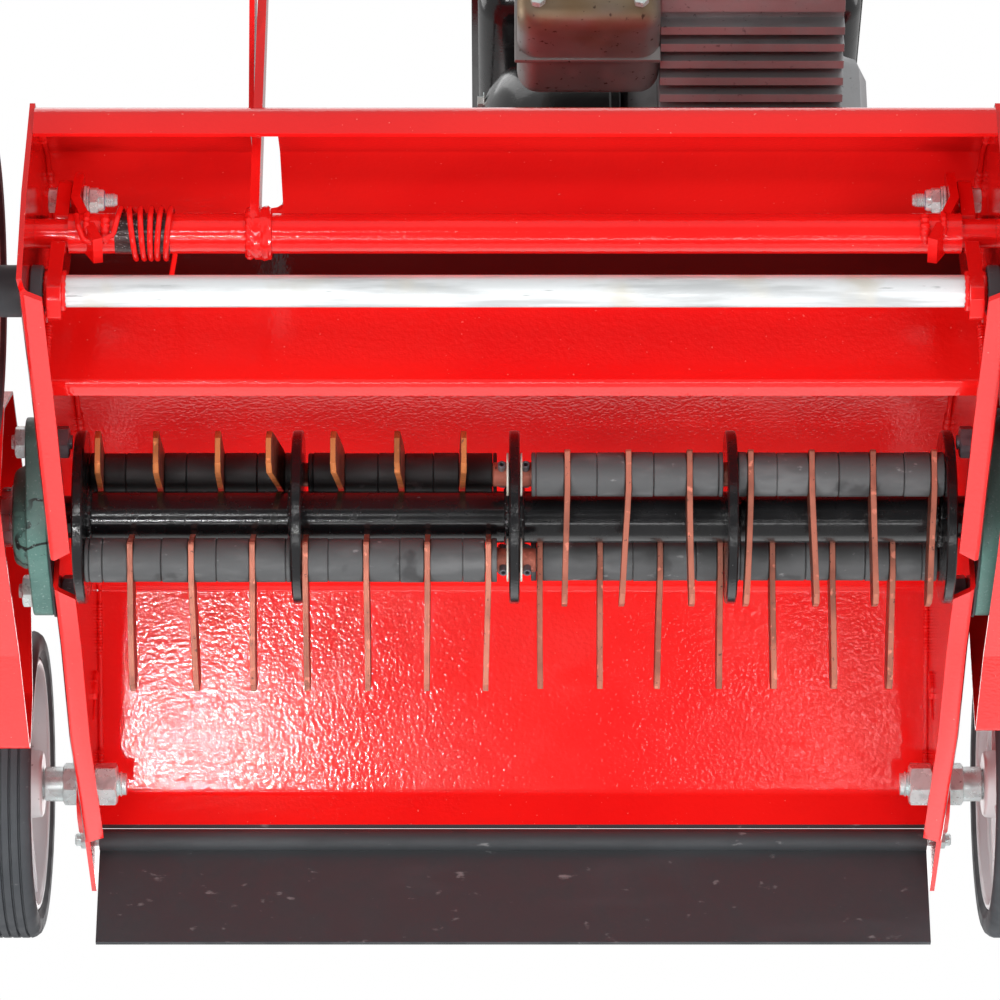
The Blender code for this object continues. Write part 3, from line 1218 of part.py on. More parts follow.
def engine():
    """A small four-stroke with a level crankshaft, its drive side towards the belt."""
    cy, cz = at(-CRANK_BEHIND, CRANK_ABOVE)
    left = PTO_FACE - CASE_LENGTH
    half = CASE_SIZE / 2
    deck_top = ROTOR_HEIGHT + DECK_ABOVE + SHEET + GAP
    case = box((left, cy - half, cz - half), (PTO_FACE, cy + half, cz + half), 16 * MM, 2)
    foot = box((left + FOOT_SPREAD, cy - half - FOOT_SPREAD, deck_top),
               (PTO_FACE - FOOT_SPREAD, cy + half + FOOT_SPREAD, cz - half + 20 * MM), 3 * MM)
    tank_low = cz + SHROUD_RADIUS + TANK_OVER_SHROUD
    tank_foot = box((left + 30 * MM, cy - 36 * MM, cz + half - 10 * MM),
                    (PTO_FACE - 30 * MM, cy + 36 * MM, tank_low), 2 * MM)
    block_left = left + CYLINDER_INSET
    barrel = cylinder_block(cy, cz, block_left)
    node("engine_block", fuse(case, foot, tank_foot, barrel), ALUMINIUM, 0.5, 0.7)

    face = left - SHROUD_DEPTH
    shroud = turned([(0, left - GAP), (SHROUD_RADIUS, left - GAP), (SHROUD_RADIUS, left - SHROUD_RIM),
                     (SHROUD_RADIUS - 8 * MM, face + 28 * MM),
                     (SHROUD_FACE_RADIUS + 8 * MM, face + 10 * MM),
                     (SHROUD_FACE_RADIUS, face), (0, face)], 20, "X", (0, cy, cz))
    slots = []
    for k in range(SHROUD_SLOTS):
        turn = math.tau * (k + 0.5) / SHROUD_SLOTS
        way = Vector((0, math.cos(turn), math.sin(turn)))
        middle = Vector((face + 0.9 * MM, cy, cz))
        slots.append(bar(3.2 * MM, middle + way * 22 * MM,
                         middle + way * (SHROUD_FACE_RADIUS - 10 * MM), 6))
    node("fan_shroud", cut(shroud, *slots), GLOSS_BLACK, 0.35)

    tank_low += GAP
    tank_top = tank_low + TANK_HEIGHT
    tank = box((PTO_FACE - TANK_LENGTH, cy - TANK_WIDTH / 2, tank_low),
               (PTO_FACE, cy + TANK_WIDTH / 2, tank_top), TANK_EDGE, 3)
    node("fuel_tank", tank, GLOSS_BLACK, 0.3)
    cap_x = PTO_FACE - TANK_LENGTH / 2
    cap = pivot("fuel_cap_axis", (cap_x, cy, tank_top))
    lobes = []
    for k in range(CAP_LOBES * 2):
        turn = math.tau * k / (CAP_LOBES * 2)
        radius = CAP_RADIUS - (2.2 * MM if k % 2 else 0)
        lobes.append((cap_x + radius * math.cos(turn), cy + radius * math.sin(turn)))
    knob = prism(lobes, tank_top + GAP, tank_top + CAP_HEIGHT, "Z")
    node("fuel_cap", knob, GLOSS_BLACK, 0.4, parent=cap)

    back = cy + half + GAP
    cleaner = box((block_left, back, cz + CLEANER_LOW),
                  (PTO_FACE - 14 * MM, back + CLEANER_DEPTH, cz + CLEANER_HIGH), 12 * MM, 2)
    node("air_cleaner", cleaner, GLOSS_BLACK, 0.4)
    low = Vector((block_left - GAP - MUFFLER_WIDTH, cy - MUFFLER_FAR, cz + MUFFLER_LOW))
    high = Vector((block_left - GAP, cy - MUFFLER_NEAR, cz + MUFFLER_HIGH))
    mouth = Vector(((low.x + high.x) / 2 - TAIL_RADIUS * 2, low.y, low.z + 34 * MM))
    tail = bar(TAIL_RADIUS, mouth + Vector((0, 6 * MM, 0)), mouth - Vector((0, TAIL_LENGTH, 0)), 12)
    node("muffler", fuse(box(low, high, 14 * MM, 2), tail), SILVER, 0.45, 0.8)

    spin = pivot("crankshaft_axis", (BELT_MIDDLE, cy, cz))
    seat = ENGINE_PULLEY_RADIUS
    width = PULLEY_WIDTH / 2
    groove = BELT_WIDTH / 2 + GAP
    start = PTO_FACE + GAP - BELT_MIDDLE
    flank = groove + GROOVE_FLARE
    profile = [(0, width + 5 * MM), (12 * MM, width + 5 * MM), (12 * MM, width), (seat + PULLEY_RIM, width),
               (seat + PULLEY_RIM, flank), (seat - BELT_SLIP, groove), (seat - BELT_SLIP, -groove),
               (seat + PULLEY_RIM, -flank), (seat + PULLEY_RIM, -width), (18 * MM, -width),
               (18 * MM, -width - 12 * MM), (SHAFT_RADIUS, -width - 12 * MM), (SHAFT_RADIUS, start),
               (0, start)]
    node("engine_pulley", turned(profile, 14, "X", (BELT_MIDDLE, cy, cz)), ALUMINIUM, 0.4, 0.8,
         parent=spin)

    angle = math.radians(RECOIL_ANGLE)
    reach = SHROUD_RADIUS + RECOIL_OVER_SHROUD
    y = cy + reach * math.cos(angle)
    z = cz + reach * math.sin(angle)
    x = left - 26 * MM
    pull = pivot("recoil_handle_axis", (x, y, z))
    grip = bar(RECOIL_GRIP_RADIUS, (x - RECOIL_GRIP_HALF, y, z), (x + RECOIL_GRIP_HALF, y, z), 12)
    stem = bar(5 * MM, (x, y, z), (x, cy + (SHROUD_RADIUS + 1 * MM) * math.cos(angle),
                                   cz + (SHROUD_RADIUS + 1 * MM) * math.sin(angle)), 8)
    node("recoil_handle", fuse(grip, stem), GLOSS_BLACK, 0.45, parent=pull)


def cylinder_block(cy, cz, left):
    """The finned cylinder, head and valve cover as one outline across the crankshaft."""
    tilt = math.radians(CYLINDER_TILT)
    out = Vector((-math.cos(tilt), math.sin(tilt)))
    side = Vector((math.sin(tilt), math.cos(tilt)))
    half = CYLINDER_SIZE / 2
    start = CYLINDER_START
    head = CYLINDER_LENGTH - HEAD_LENGTH
    pitch = (head - start) / FIN_COUNT
    edge = [(40 * MM, half - FIN_DEPTH)]
    for k in range(FIN_COUNT):
        low = start + pitch * k
        edge += [(low + pitch * 0.55, half - FIN_DEPTH), (low + pitch * 0.55, half),
                 (low + pitch, half), (low + pitch, half - FIN_DEPTH)]
    edge += [(head + 8 * MM, half - FIN_DEPTH), (head + 8 * MM, half - 4 * MM),
             (CYLINDER_LENGTH, half - 4 * MM), (CYLINDER_LENGTH, half - 18 * MM),
             (CYLINDER_LENGTH + COVER_LENGTH, half - 22 * MM)]
    outline = edge + [(u, -v) for u, v in reversed(edge)]
    points = [tuple(Vector((cy, cz)) + out * u + side * v) for u, v in outline]
    return prism(points, left, left + CYLINDER_SIZE)


# Depth quadrant, flap and handlebar

def depth_quadrant():
    """The notched plate beside the hand lever that sets the working depth."""
    axis = at(TUBE_AHEAD, TUBE_ABOVE)
    right = LEVER_AT - LEVER_THICKNESS / 2 - 1 * MM
    floor = at(0, DECK_ABOVE + SHEET / 2)[1]
    radius = QUADRANT_RADIUS
    first = QUADRANT_FIRST
    last = first - LIFT_TRAVEL + 4
    outline = [(at(DECK_SLOT_REAR - 20 * MM, 0)[0], floor), (at(DECK_BEND_AHEAD + 2 * MM, 0)[0], floor)]
    outline.append((axis[0] + radius * math.cos(math.radians(first + 18)),
                    axis[1] + radius * math.sin(math.radians(first + 18))))
    for k in range(QUADRANT_NOTCHES):
        angle = first + 10 - (first + 10 - last) * k / (QUADRANT_NOTCHES - 1)
        for turn, reach in ((1.6, radius), (1.0, radius - 7 * MM), (-1.0, radius - 7 * MM), (-1.6, radius)):
            outline.append((axis[0] + reach * math.cos(math.radians(angle + turn)),
                            axis[1] + reach * math.sin(math.radians(angle + turn))))
    return prism(outline, right - 3 * MM, right)


def flap():
    """The rubber flap rolled round its rod behind the housing."""
    centre = at(-FLAP_ROD_BEHIND, -FLAP_ROD_DROP)
    end = PLATE_OUT + 11 * MM
    rod = bar(FLAP_ROD_RADIUS, (-end, *centre), (end, *centre), 14)
    nuts = []
    for side in (-1, 1):
        nuts.append(hexagon(FLAP_NUT_AF, (side * (PLATE_OUT + GAP), *centre),
                            (side * (PLATE_OUT + 6 * MM), *centre)))
    node("flap_rod", fuse(rod, *nuts), ZINC, 0.35, 0.9)
    hinge = pivot("flap_axis", (0, *centre))
    y = centre[0]
    radius = FLAP_ROLL_RADIUS
    meet = math.degrees(math.acos((radius - FLAP_THICKNESS) / radius))
    outline = arc_points(centre, radius, 0, 360 - meet, 12)
    outline += [(y + radius - FLAP_THICKNESS, FLAP_CLEAR), (y + radius, FLAP_CLEAR)]
    hole = ring_points(centre, FLAP_ROD_RADIUS + RUN, 12)
    width = HALF - 1.5 * MM
    node("rubber_flap", prism(outline, -width, width, "X", [hole]), RUBBER, 0.6, parent=hinge)


def along_bar(behind, above, angle, reach):
    turn = math.radians(angle)
    return behind + reach * math.cos(turn), above + reach * math.sin(turn)


def bar_bolt_places():
    """The two bolts through each lower tube, as (behind, above)."""
    foot_above = DECK_ABOVE + SHEET + BAR_FOOT_OVER_DECK
    return [along_bar(BAR_FOOT_BEHIND, foot_above, LOWER_BAR_ANGLE, s)
            for s in (BAR_BOLT_FIRST, BAR_BOLT_FIRST + BAR_BOLT_SPACING)]


def handlebar_bracket(side):
    """The bracket that a lower tube is bolted to, outside the tube and welded to the deck."""
    inner = side * (BAR_MIDDLE + BAR_RADIUS + GAP)
    outer = inner + side * BRACKET_THICKNESS
    places = bar_bolt_places()
    floor = DECK_ABOVE + SHEET / 2
    outline = [(*at(-BAR_FOOT_BEHIND + 34 * MM, floor), 0),
               at(-BAR_FOOT_BEHIND + 34 * MM, floor + 22 * MM),
               at(-places[1][0] + 12 * MM, places[1][1] + 12 * MM),
               at(-places[1][0] - 12 * MM, places[1][1] + 4 * MM),
               (*at(-BAR_FOOT_BEHIND - 30 * MM, floor), 0)]
    holes = [ring_points(at(-behind, above), BAR_HOLE_RADIUS, 8) for behind, above in places]
    return prism(rounded(outline, 5 * MM, 2), *sorted((inner, outer)), "X", holes)


def handlebar():
    """Lower tubes bolted to the deck's brackets, and the upper bar that folds forward."""
    foot_above = DECK_ABOVE + SHEET + BAR_FOOT_OVER_DECK
    tubes = []
    bolts = []
    low = along_bar(BAR_FOOT_BEHIND, foot_above, LOWER_BAR_ANGLE, BAR_END_LOW)
    high = along_bar(FOLD_BEHIND, FOLD_ABOVE, LOWER_BAR_ANGLE, BAR_END_PAST)
    upper_x = BAR_MIDDLE - FOLD_BAR_OFFSET
    for name, side in SIDES:
        x = side * BAR_MIDDLE
        tube = bar(BAR_RADIUS, spot(x, -low[0], low[1]), spot(x, -high[0], high[1]), 12)
        out = side * (BAR_MIDDLE + BAR_RADIUS + BRACKET_THICKNESS + 2 * GAP)
        for behind, above in bar_bolt_places():
            y, z = at(-behind, above)
            shank = bar(BAR_BOLT_RADIUS, (side * (BAR_MIDDLE - BAR_RADIUS - 8 * MM), y, z),
                        (out + side * 3 * MM, y, z), 8)
            head = hexagon(M8_AF, (out, y, z), (out + side * 5.3 * MM, y, z))
            nut = hexagon(M8_AF, (side * (BAR_MIDDLE - BAR_RADIUS + 1 * MM), y, z),
                          (side * (BAR_MIDDLE - BAR_RADIUS - 6 * MM), y, z))
            bolts += [shank, head, nut]
        y, z = at(-FOLD_BEHIND, FOLD_ABOVE)
        hole = bar(BAR_HOLE_RADIUS, (x - 20 * MM, y, z), (x + 20 * MM, y, z), 8)
        tubes.append(cut(tube, hole))
        shank = bar(BAR_BOLT_RADIUS, (side * (upper_x - BAR_RADIUS - 6 * MM), y, z),
                    (side * (BAR_MIDDLE + BAR_RADIUS + 4 * MM), y, z), 8)
        head = hexagon(M8_AF, (side * (upper_x - BAR_RADIUS - 6 * MM), y, z),
                       (side * (upper_x - BAR_RADIUS - GAP), y, z))
        start = BAR_MIDDLE + BAR_RADIUS + GAP
        knob = turned([(0, start + 20 * MM), (12 * MM, start + 20 * MM), (19 * MM, start + 16 * MM),
                       (19 * MM, start + 6 * MM), (10 * MM, start), (0, start)],
                      14, "X", (0, y, z), False, side)
        node("fold_knob_" + name, fuse(shank, head, knob), PLASTIC, 0.4)
    cross = along_bar(BAR_FOOT_BEHIND, foot_above, LOWER_BAR_ANGLE, LOWER_BAR_LENGTH * LOWER_CROSS_SHARE)
    rail = bar(CROSS_BAR_RADIUS, spot(-BAR_MIDDLE, -cross[0], cross[1]),
               spot(BAR_MIDDLE, -cross[0], cross[1]), 10)
    node("lower_handlebar", fuse(rail, *tubes, *bolts), GLOSS_BLACK, 0.3)
    upper_handlebar(upper_x)


def upper_handlebar(x):
    fold = spot(0, -FOLD_BEHIND, FOLD_ABOVE)
    body = pivot("handlebar_fold_axis", fold)
    start = along_bar(FOLD_BEHIND, FOLD_ABOVE, UPPER_BAR_ANGLE, -BAR_END_PAST)
    path = [(-start[0], start[1]), (-GRIP_BEHIND, GRIP_ABOVE),
            (-GRIP_BEHIND - GRIP_LENGTH, GRIP_ABOVE)]
    smooth = bent(path, 70 * MM, 4)
    sides = []
    for side in (-1, 1):
        tube = wire([spot(side * x, ahead, above) for ahead, above in smooth], BAR_RADIUS, BAR_TUBE_SIDES)
        hole = bar(BAR_HOLE_RADIUS, (side * x - 20 * MM, fold.y, fold.z),
                   (side * x + 20 * MM, fold.y, fold.z), 8)
        sides.append(cut(tube, hole))
    cross = along_bar(FOLD_BEHIND, FOLD_ABOVE, UPPER_BAR_ANGLE, UPPER_BAR_LENGTH * UPPER_CROSS_SHARE)
    rail = bar(CROSS_BAR_RADIUS, spot(-x, -cross[0], cross[1]), spot(x, -cross[0], cross[1]), 12)
    node("upper_handlebar", fuse(rail, *sides), GLOSS_BLACK, 0.3, parent=body)

    front = ROTOR_Y + GRIP_BEHIND + GRIP_START
    end = ROTOR_Y + GRIP_BEHIND + GRIP_LENGTH + GAP
    rear = ROTOR_Y + REACH_REAR
    outer = BAR_RADIUS + GRIP_WALL
    bore = BAR_RADIUS + GRIP_FIT
    for name, side in SIDES:
        centre = Vector((side * x, 0, ROTOR_HEIGHT + GRIP_ABOVE))
        profile = [(0, rear), (outer - 3 * MM, rear), (outer, end), (outer, front + 6 * MM),
                   (outer + GRIP_COLLAR, front + 5 * MM), (outer + GRIP_COLLAR, front), (bore, front),
                   (bore, end), (0, end)]
        node("handle_grip_" + name, turned(profile, 12, "Y", centre), RUBBER, 0.6, parent=body)
    bail(x, body)
    throttle(x, body)


def bail(x, body):
    """The clutch's wire bail between the grips, hinged inside the upper tubes."""
    inner = x - BAR_RADIUS - GAP
    hinge_place = along_bar(FOLD_BEHIND, FOLD_ABOVE, UPPER_BAR_ANGLE, UPPER_BAR_LENGTH * BAIL_SHARE)
    hinge = pivot("clutch_bail_axis", spot(0, -hinge_place[0], hinge_place[1]), body)
    lean = math.radians(BAIL_ANGLE)
    reach = GRIP_BEHIND + GRIP_LENGTH - hinge_place[0]
    rise = GRIP_ABOVE - hinge_place[1]
    down = math.atan2(rise, reach)
    length = math.hypot(rise, reach)
    tip = (hinge_place[0] + length * math.cos(down + lean), hinge_place[1] + length * math.sin(down + lean))
    wide = x - BAR_RADIUS - GRIP_WALL - GRIP_COLLAR - BAIL_RADIUS - 1.5 * MM
    loop = [(-inner, *hinge_place), (-wide, *hinge_place), (-wide, *tip),
            (wide, *tip), (wide, *hinge_place), (inner, *hinge_place)]
    path = [spot(loop[0][0], -loop[0][1], loop[0][2])]
    for k in range(1, len(loop) - 1):
        here = spot(loop[k][0], -loop[k][1], loop[k][2])
        before = spot(loop[k - 1][0], -loop[k - 1][1], loop[k - 1][2])
        after = spot(loop[k + 1][0], -loop[k + 1][1], loop[k + 1][2])
        ease = min(18 * MM, 0.45 * (here - before).length, 0.45 * (after - here).length)
        first = here + (before - here).normalized() * ease
        last = here + (after - here).normalized() * ease
        for share in (0, 0.33, 0.67, 1):
            path.append(first.lerp(here, share).lerp(here.lerp(last, share), share))
    path.append(spot(loop[-1][0], -loop[-1][1], loop[-1][2]))
    node("clutch_bail", wire(path, BAIL_RADIUS, 1), ZINC, 0.3, 0.9, parent=hinge)


def throttle(x, body):
    """The throttle's lever on the outside of the right tube."""
    hub_x = x + BAR_RADIUS + GAP
    stalk_x = hub_x + THROTTLE_OFF
    place = along_bar(FOLD_BEHIND, FOLD_ABOVE, UPPER_BAR_ANGLE, UPPER_BAR_LENGTH * THROTTLE_SHARE)
    lever = pivot("throttle_axis", spot(hub_x, -place[0], place[1]), body)
    y, z = at(-place[0], place[1])
    hub = bar(15 * MM, (hub_x, y, z), (hub_x + THROTTLE_OFF + 1.5 * MM, y, z), 14)
    up = Vector((0, 0.25, 1)).normalized()
    foot = Vector((stalk_x, y, z))
    stalk = bar(3.5 * MM, foot, foot + up * 48 * MM, 8)
    ball = bar(7.5 * MM, foot + up * 44 * MM, foot + up * 60 * MM, 12)
    node("throttle_lever", fuse(hub, stalk, ball), GLOSS_BLACK, 0.4, parent=lever)


# The machine

deck()
side_plate("side_plate_left", -1)
side_plate("side_plate_right", 1)
wheel_bolts()
bearings()
guards()
rotor()
belt()
idler()
engine()
lift = lift_gear()
link = front_axle_gear(lift)
for label, sign in SIDES:
    front = spot(sign * (FRONT_WHEEL_INNER + WHEEL_WIDTH / 2), FRONT_AXLE_AHEAD, AXLE_ABOVE)
    wheel("front_wheel_" + label, FRONT_WHEEL_INNER, sign, front, link)
    rear = spot(sign * (REAR_WHEEL_INNER + WHEEL_WIDTH / 2), -REAR_AXLE_BEHIND, WHEEL_ABOVE)
    wheel("rear_wheel_" + label, REAR_WHEEL_INNER, sign, rear)
flap()
handlebar()
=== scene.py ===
import json
import random
from math import acos, atan2, cos, hypot, inf, pi, radians, sin, tan, tau

import bmesh
import bpy
from mathutils import Matrix, Vector

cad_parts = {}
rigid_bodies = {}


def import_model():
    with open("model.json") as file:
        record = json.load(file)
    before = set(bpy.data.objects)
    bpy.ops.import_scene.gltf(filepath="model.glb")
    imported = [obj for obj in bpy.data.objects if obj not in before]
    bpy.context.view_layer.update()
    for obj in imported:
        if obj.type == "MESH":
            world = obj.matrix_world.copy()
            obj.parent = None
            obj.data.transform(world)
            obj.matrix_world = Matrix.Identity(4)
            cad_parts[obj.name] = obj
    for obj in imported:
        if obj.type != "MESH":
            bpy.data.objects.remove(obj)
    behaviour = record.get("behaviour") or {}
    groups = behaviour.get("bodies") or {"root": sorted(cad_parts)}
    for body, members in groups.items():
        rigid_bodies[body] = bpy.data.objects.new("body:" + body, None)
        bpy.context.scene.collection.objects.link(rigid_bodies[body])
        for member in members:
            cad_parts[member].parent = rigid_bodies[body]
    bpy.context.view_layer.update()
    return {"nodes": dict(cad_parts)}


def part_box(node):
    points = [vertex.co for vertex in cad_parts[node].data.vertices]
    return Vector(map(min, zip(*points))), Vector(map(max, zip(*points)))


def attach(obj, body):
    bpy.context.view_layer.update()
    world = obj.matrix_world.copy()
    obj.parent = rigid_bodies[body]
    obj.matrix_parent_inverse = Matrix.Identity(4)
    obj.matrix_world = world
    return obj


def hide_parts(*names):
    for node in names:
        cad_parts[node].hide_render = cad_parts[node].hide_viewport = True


for old in list(bpy.data.objects):
    bpy.data.objects.remove(old, do_unlink=True)

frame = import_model()

MM = 0.001
RIGHT = Vector((1, 0, 0))
UPRIGHT = Vector((0, 0, 1))
SIDES = (("left", -1), ("right", 1))
DRAW = random.Random(11)
pulley_low, pulley_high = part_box("rotor_pulley")
ROTOR_Y = (pulley_low.y + pulley_high.y) / 2
ROTOR_Z = (pulley_low.z + pulley_high.z) / 2


def at(ahead, above):
    """Y and Z of a point given in millimetres from the rotor's axis."""
    return ROTOR_Y - ahead * MM, ROTOR_Z + above * MM


def spot(x, ahead, above):
    return Vector((x * MM, *at(ahead, above)))


def line(side, place):
    """The points of a line along X, by their distance from the middle on one side."""
    return lambda x: spot(side * x, *place)


def mm(x, y=0.0, z=0.0):
    return Vector((x * MM, y * MM, z * MM))


def put(name, data):
    made = bpy.data.objects.new(name, data)
    bpy.context.scene.collection.objects.link(made)
    return made


# Camera, from in front and below, as in the photograph

VIEW = Vector((0, -0.84, -0.543)).normalized()
UP = Vector((0, -0.543, 0.84)).normalized()
CAMERA_DISTANCE = 3.077
EYE = Vector((-0.00833, ROTOR_Y, ROTOR_Z)) + VIEW * CAMERA_DISTANCE + UP * 0.0105
camera_data = bpy.data.cameras.new("camera")
camera_data.lens = 190.2
camera_data.sensor_width = 36
camera_data.shift_y = -0.001
camera_data.clip_end = 60
camera = put("camera", camera_data)
camera.matrix_world = Matrix.Translation(EYE) @ Matrix((RIGHT, UP, VIEW)).transposed().to_4x4()
bpy.context.scene.camera = camera
bpy.context.scene.view_settings.view_transform = "Standard"


# Materials

PARTITION_AHEAD = 131
PARTITION_Y = at(PARTITION_AHEAD, 0)[0]
SHADE_BAND_UNDER_TUBE = (ROTOR_Z + 0.060, ROTOR_Z + 0.082)     # heights over which the painted shade under the lift tube fades in


def node(tree, kind, feeds=(), **settings):
    """A new node's outputs. A socket in feeds is linked to the input, anything else is its value."""
    made = tree.nodes.new(kind)
    for name, value in settings.items():
        setattr(made, name, value)
    for name, value in dict(feeds).items():
        if isinstance(value, bpy.types.NodeSocket):
            tree.links.new(value, made.inputs[name])
        else:
            made.inputs[name].default_value = value
    return made.outputs


def smooth_step(tree, value, low, high, start=0.0, end=1.0):
    feeds = {"Value": value, "From Min": low, "From Max": high, "To Min": start, "To Max": end}
    return node(tree, "ShaderNodeMapRange", feeds, interpolation_type="SMOOTHSTEP")["Result"]


def painted_shade_mask(tree, place):
    """Painted shade under the lift tube: 1 on the partition's faces above the band, 0 below it and
    elsewhere.
    """
    apart = node(tree, "ShaderNodeSeparateXYZ", {0: place})
    front, back, ease = PARTITION_Y - 0.0012, PARTITION_Y + 0.0012, 0.0002
    mask = smooth_step(tree, apart["Y"], front, front + ease)
    for other in (smooth_step(tree, apart["Y"], back, back - ease),
                  smooth_step(tree, apart["Z"], *SHADE_BAND_UNDER_TUBE)):
        mask = node(tree, "ShaderNodeMath", {0: mask, 1: other}, operation="MULTIPLY")[0]
    return mask


def finish(name, colour, rough, tints, gloss, dents,
           metallic=0.0, coat=0.0, coat_rough=0.08, shade_under_tube=False):
    """A procedural material in layers over one base colour.

    Each layer shows where noise rises from low to high, with so many cells a metre:
    tints are (colour, cells, low, high, detail, stretch), gloss is (roughness, and the same),
    dents are (depth in millimetres, cells, detail, stretch, strength), also under the clear coat.
    """
    made = bpy.data.materials.new(name)
    made.use_nodes = True
    tree = made.node_tree
    shader = tree.nodes["Principled BSDF"]
    base = (*colour, 1)
    for socket, value in (("Base Color", base), ("Roughness", rough), ("Metallic", metallic),
                          ("Coat Weight", coat), ("Coat Roughness", coat_rough)):
        shader.inputs[socket].default_value = value
    place = node(tree, "ShaderNodeTexCoord")["Object"]

    def grain(cells, detail=3.0, stretch=None):
        spread = place
        if stretch:
            spread = node(tree, "ShaderNodeMapping", {"Vector": place, "Scale": stretch})["Vector"]
        return node(tree, "ShaderNodeTexNoise", {"Vector": spread, "Scale": cells, "Detail": detail})["Fac"]

    def mask(cells, low, high, *rest):
        return smooth_step(tree, grain(cells, *rest), low, high)

    def bump(under, depth, cells, detail=3.0, stretch=None, strength=1.0):
        feeds = {"Height": grain(cells, detail, stretch), "Distance": depth * MM, "Strength": strength}
        if under:
            feeds["Normal"] = under
        return node(tree, "ShaderNodeBump", feeds)["Normal"]

    layers = [(tone, mask(*rest)) for tone, *rest in tints]
    # The partition's painted shade under the lift tube: a near-black red where the mask is 1
    if shade_under_tube:
        layers.append(((0.022, 0.003, 0.003), painted_shade_mask(tree, place)))
    for tone, factor in layers:
        base = node(tree, "ShaderNodeMix", {0: factor, 6: base, 7: (*tone, 1)}, data_type="RGBA")[2]
    tree.links.new(base, shader.inputs["Base Color"])
    if gloss:
        worn = node(tree, "ShaderNodeMix", {0: mask(*gloss[1:]), 2: rough, 3: gloss[0]})[0]
        tree.links.new(worn, shader.inputs["Roughness"])
    normal = None
    for dent in dents:
        normal = bump(normal, *dent)
    tree.links.new(normal, shader.inputs["Normal"])
    tree.links.new(normal, shader.inputs["Coat Normal"])
    return made


def times(colour, factor):
    return tuple(v * factor for v in colour)


def red_coat(name, shade_under_tube=False):
    """Gloss powder coat with its orange peel and a few specks of dust, and where asked, painted shade on
    the partition under the lift tube.
    """
    return finish(name, (0.86, 0.012, 0.010), 0.10,
                  [((0.80, 0.008, 0.008), 7, 0.35, 0.7), ((0.90, 0.18, 0.15), 650, 0.86, 0.89, 0.0)],
                  (0.15, 26, 0.4, 0.7), [(0.13, 420, 1.0), (0.05, 60, 1.0, None, 0.6)],
                  coat=0.4, coat_rough=0.05, shade_under_tube=shade_under_tube)


def gloss_black(name, depth):
    return finish(name, (0.008, 0.008, 0.009), 0.18,
                  [((0.06, 0.06, 0.062), 480, 0.74, 0.79, 1.0)],
                  (0.28, 90, 0.45, 0.65), [(depth, 650, 2.0)], coat=0.35)


def spacer_grey(name, grey):
    def tone(factor, green, blue):
        return grey * factor, grey * green, grey * blue

    return finish(name, tone(1, 1.02, 1.05), 0.52,
                  [(tone(1.5, 1.52, 1.55), 70, 0.50, 0.72, 3.0, (0.35, 1, 1)),
                   (tone(2.6, 2.6, 2.65), 190, 0.66, 0.74, 5.0, (0.6, 1, 1)),
                   (tone(0.6, 0.6, 0.62), 40, 0.62, 0.70)],
                  (0.38, 120, 0.5, 0.7), [(0.05, 900)])


def copper_coat(name, colour, rough):
    return finish(name, colour, rough,
                  [(times(colour, 0.62), 38, 0.42, 0.68),
                   (tuple(v * 1.5 + 0.02 for v in colour), 150, 0.60, 0.70, 5.0),
                   ((0.13, 0.055, 0.045), 420, 0.64, 0.72, 4.0)],
                  (rough + 0.16, 200, 0.45, 0.7), [(0.06, 500, 4.0)], metallic=0.35)


def zinc_plate(name, colour, rough, stretch=None, dark=0.7, metallic=0.88):
    """Bright zinc with a spangled, streaked skin."""
    return finish(name, colour, rough,
                  [(times(colour, dark), 150, 0.48, 0.70, 6.0, stretch),
                   ((0.34, 0.35, 0.36), 340, 0.66, 0.74, 4.0, stretch),
                   ((0.72, 0.70, 0.63), 24, 0.56, 0.75)],
                  (rough + 0.18, 90, 0.4, 0.7, 4.0, stretch), [(0.04, 900, 3.0, stretch)], metallic)


def soft_black(name, colour, rough, cells, depth, scuff=0.16):
    """Rubber or moulded plastic with a fine grain and pale scuffs."""
    return finish(name, colour, rough,
                  [(times(colour, 1.45), 18, 0.5, 0.75, 3.0, (0.3, 1, 1)),
                   ((scuff, scuff, scuff * 1.02), 160, 0.66, 0.76, 5.0, (0.5, 1, 1))],
                  (rough + 0.2, 60, 0.4, 0.7), [(depth, cells, 2.0)])


RED = red_coat("red_coat")
# The deck's coat has painted shade on the partition under the lift tube
DECK_RED = red_coat("deck_coat_painted_shade", shade_under_tube=True)
BLACK = gloss_black("gloss_black", 0.05)
DISC_BLACK = gloss_black("disc_black", 0.12)
SPACER = spacer_grey("spacer_grey", 0.082)
# A darker copy of the spacer grey: painted shade for the left upper bank
SHADED_SPACER = spacer_grey("spacer_grey_painted_shade", 0.030)
COPPER = copper_coat("copper_coat", (0.36, 0.105, 0.070), 0.40)
# Flail sides: a darker copy of the copper, painted shade; flail edges: lighter copies of it, painted light
FLAIL_SIDE = copper_coat("flail_side_painted_shade", (0.25, 0.082, 0.052), 0.42)
EDGE = copper_coat("flail_edge_painted_light", (0.54, 0.185, 0.125), 0.38)
ORANGE_EDGE = copper_coat("orange_flail_edge_painted_light", (0.60, 0.19, 0.06), 0.36)
# A darker stretch of the lift tube under the spring, with pale specks
DARK_TUBE_STRETCH = finish("dark_tube_stretch", (0.040, 0.022, 0.022), 0.30,
              [((0.075, 0.040, 0.038), 60, 0.45, 0.7), ((0.34, 0.29, 0.29), 780, 0.60, 0.68)],
              None, [(0.12, 600)], metallic=0.3, coat=0.2)
WELD_BLACK = finish("weld_black", (0.014, 0.014, 0.015), 0.24,
                    [((0.20, 0.20, 0.21), 520, 0.62, 0.70)], None, [(0.5, 380)], coat=0.3)
AXLE_ZINC = zinc_plate("axle_zinc", (0.84, 0.87, 0.88), 0.34, (0.10, 1, 1), 0.72, 0.40)
ZINC = zinc_plate("zinc_plate", (0.78, 0.90, 0.90), 0.22, None, 0.76, 0.45)
DARK_STEEL = zinc_plate("dark_steel", (0.17, 0.165, 0.185), 0.30, (0.4, 1, 1), 0.6, 0.6)
STEEL = zinc_plate("bright_steel", (0.60, 0.61, 0.62), 0.24, (0.2, 1, 1))
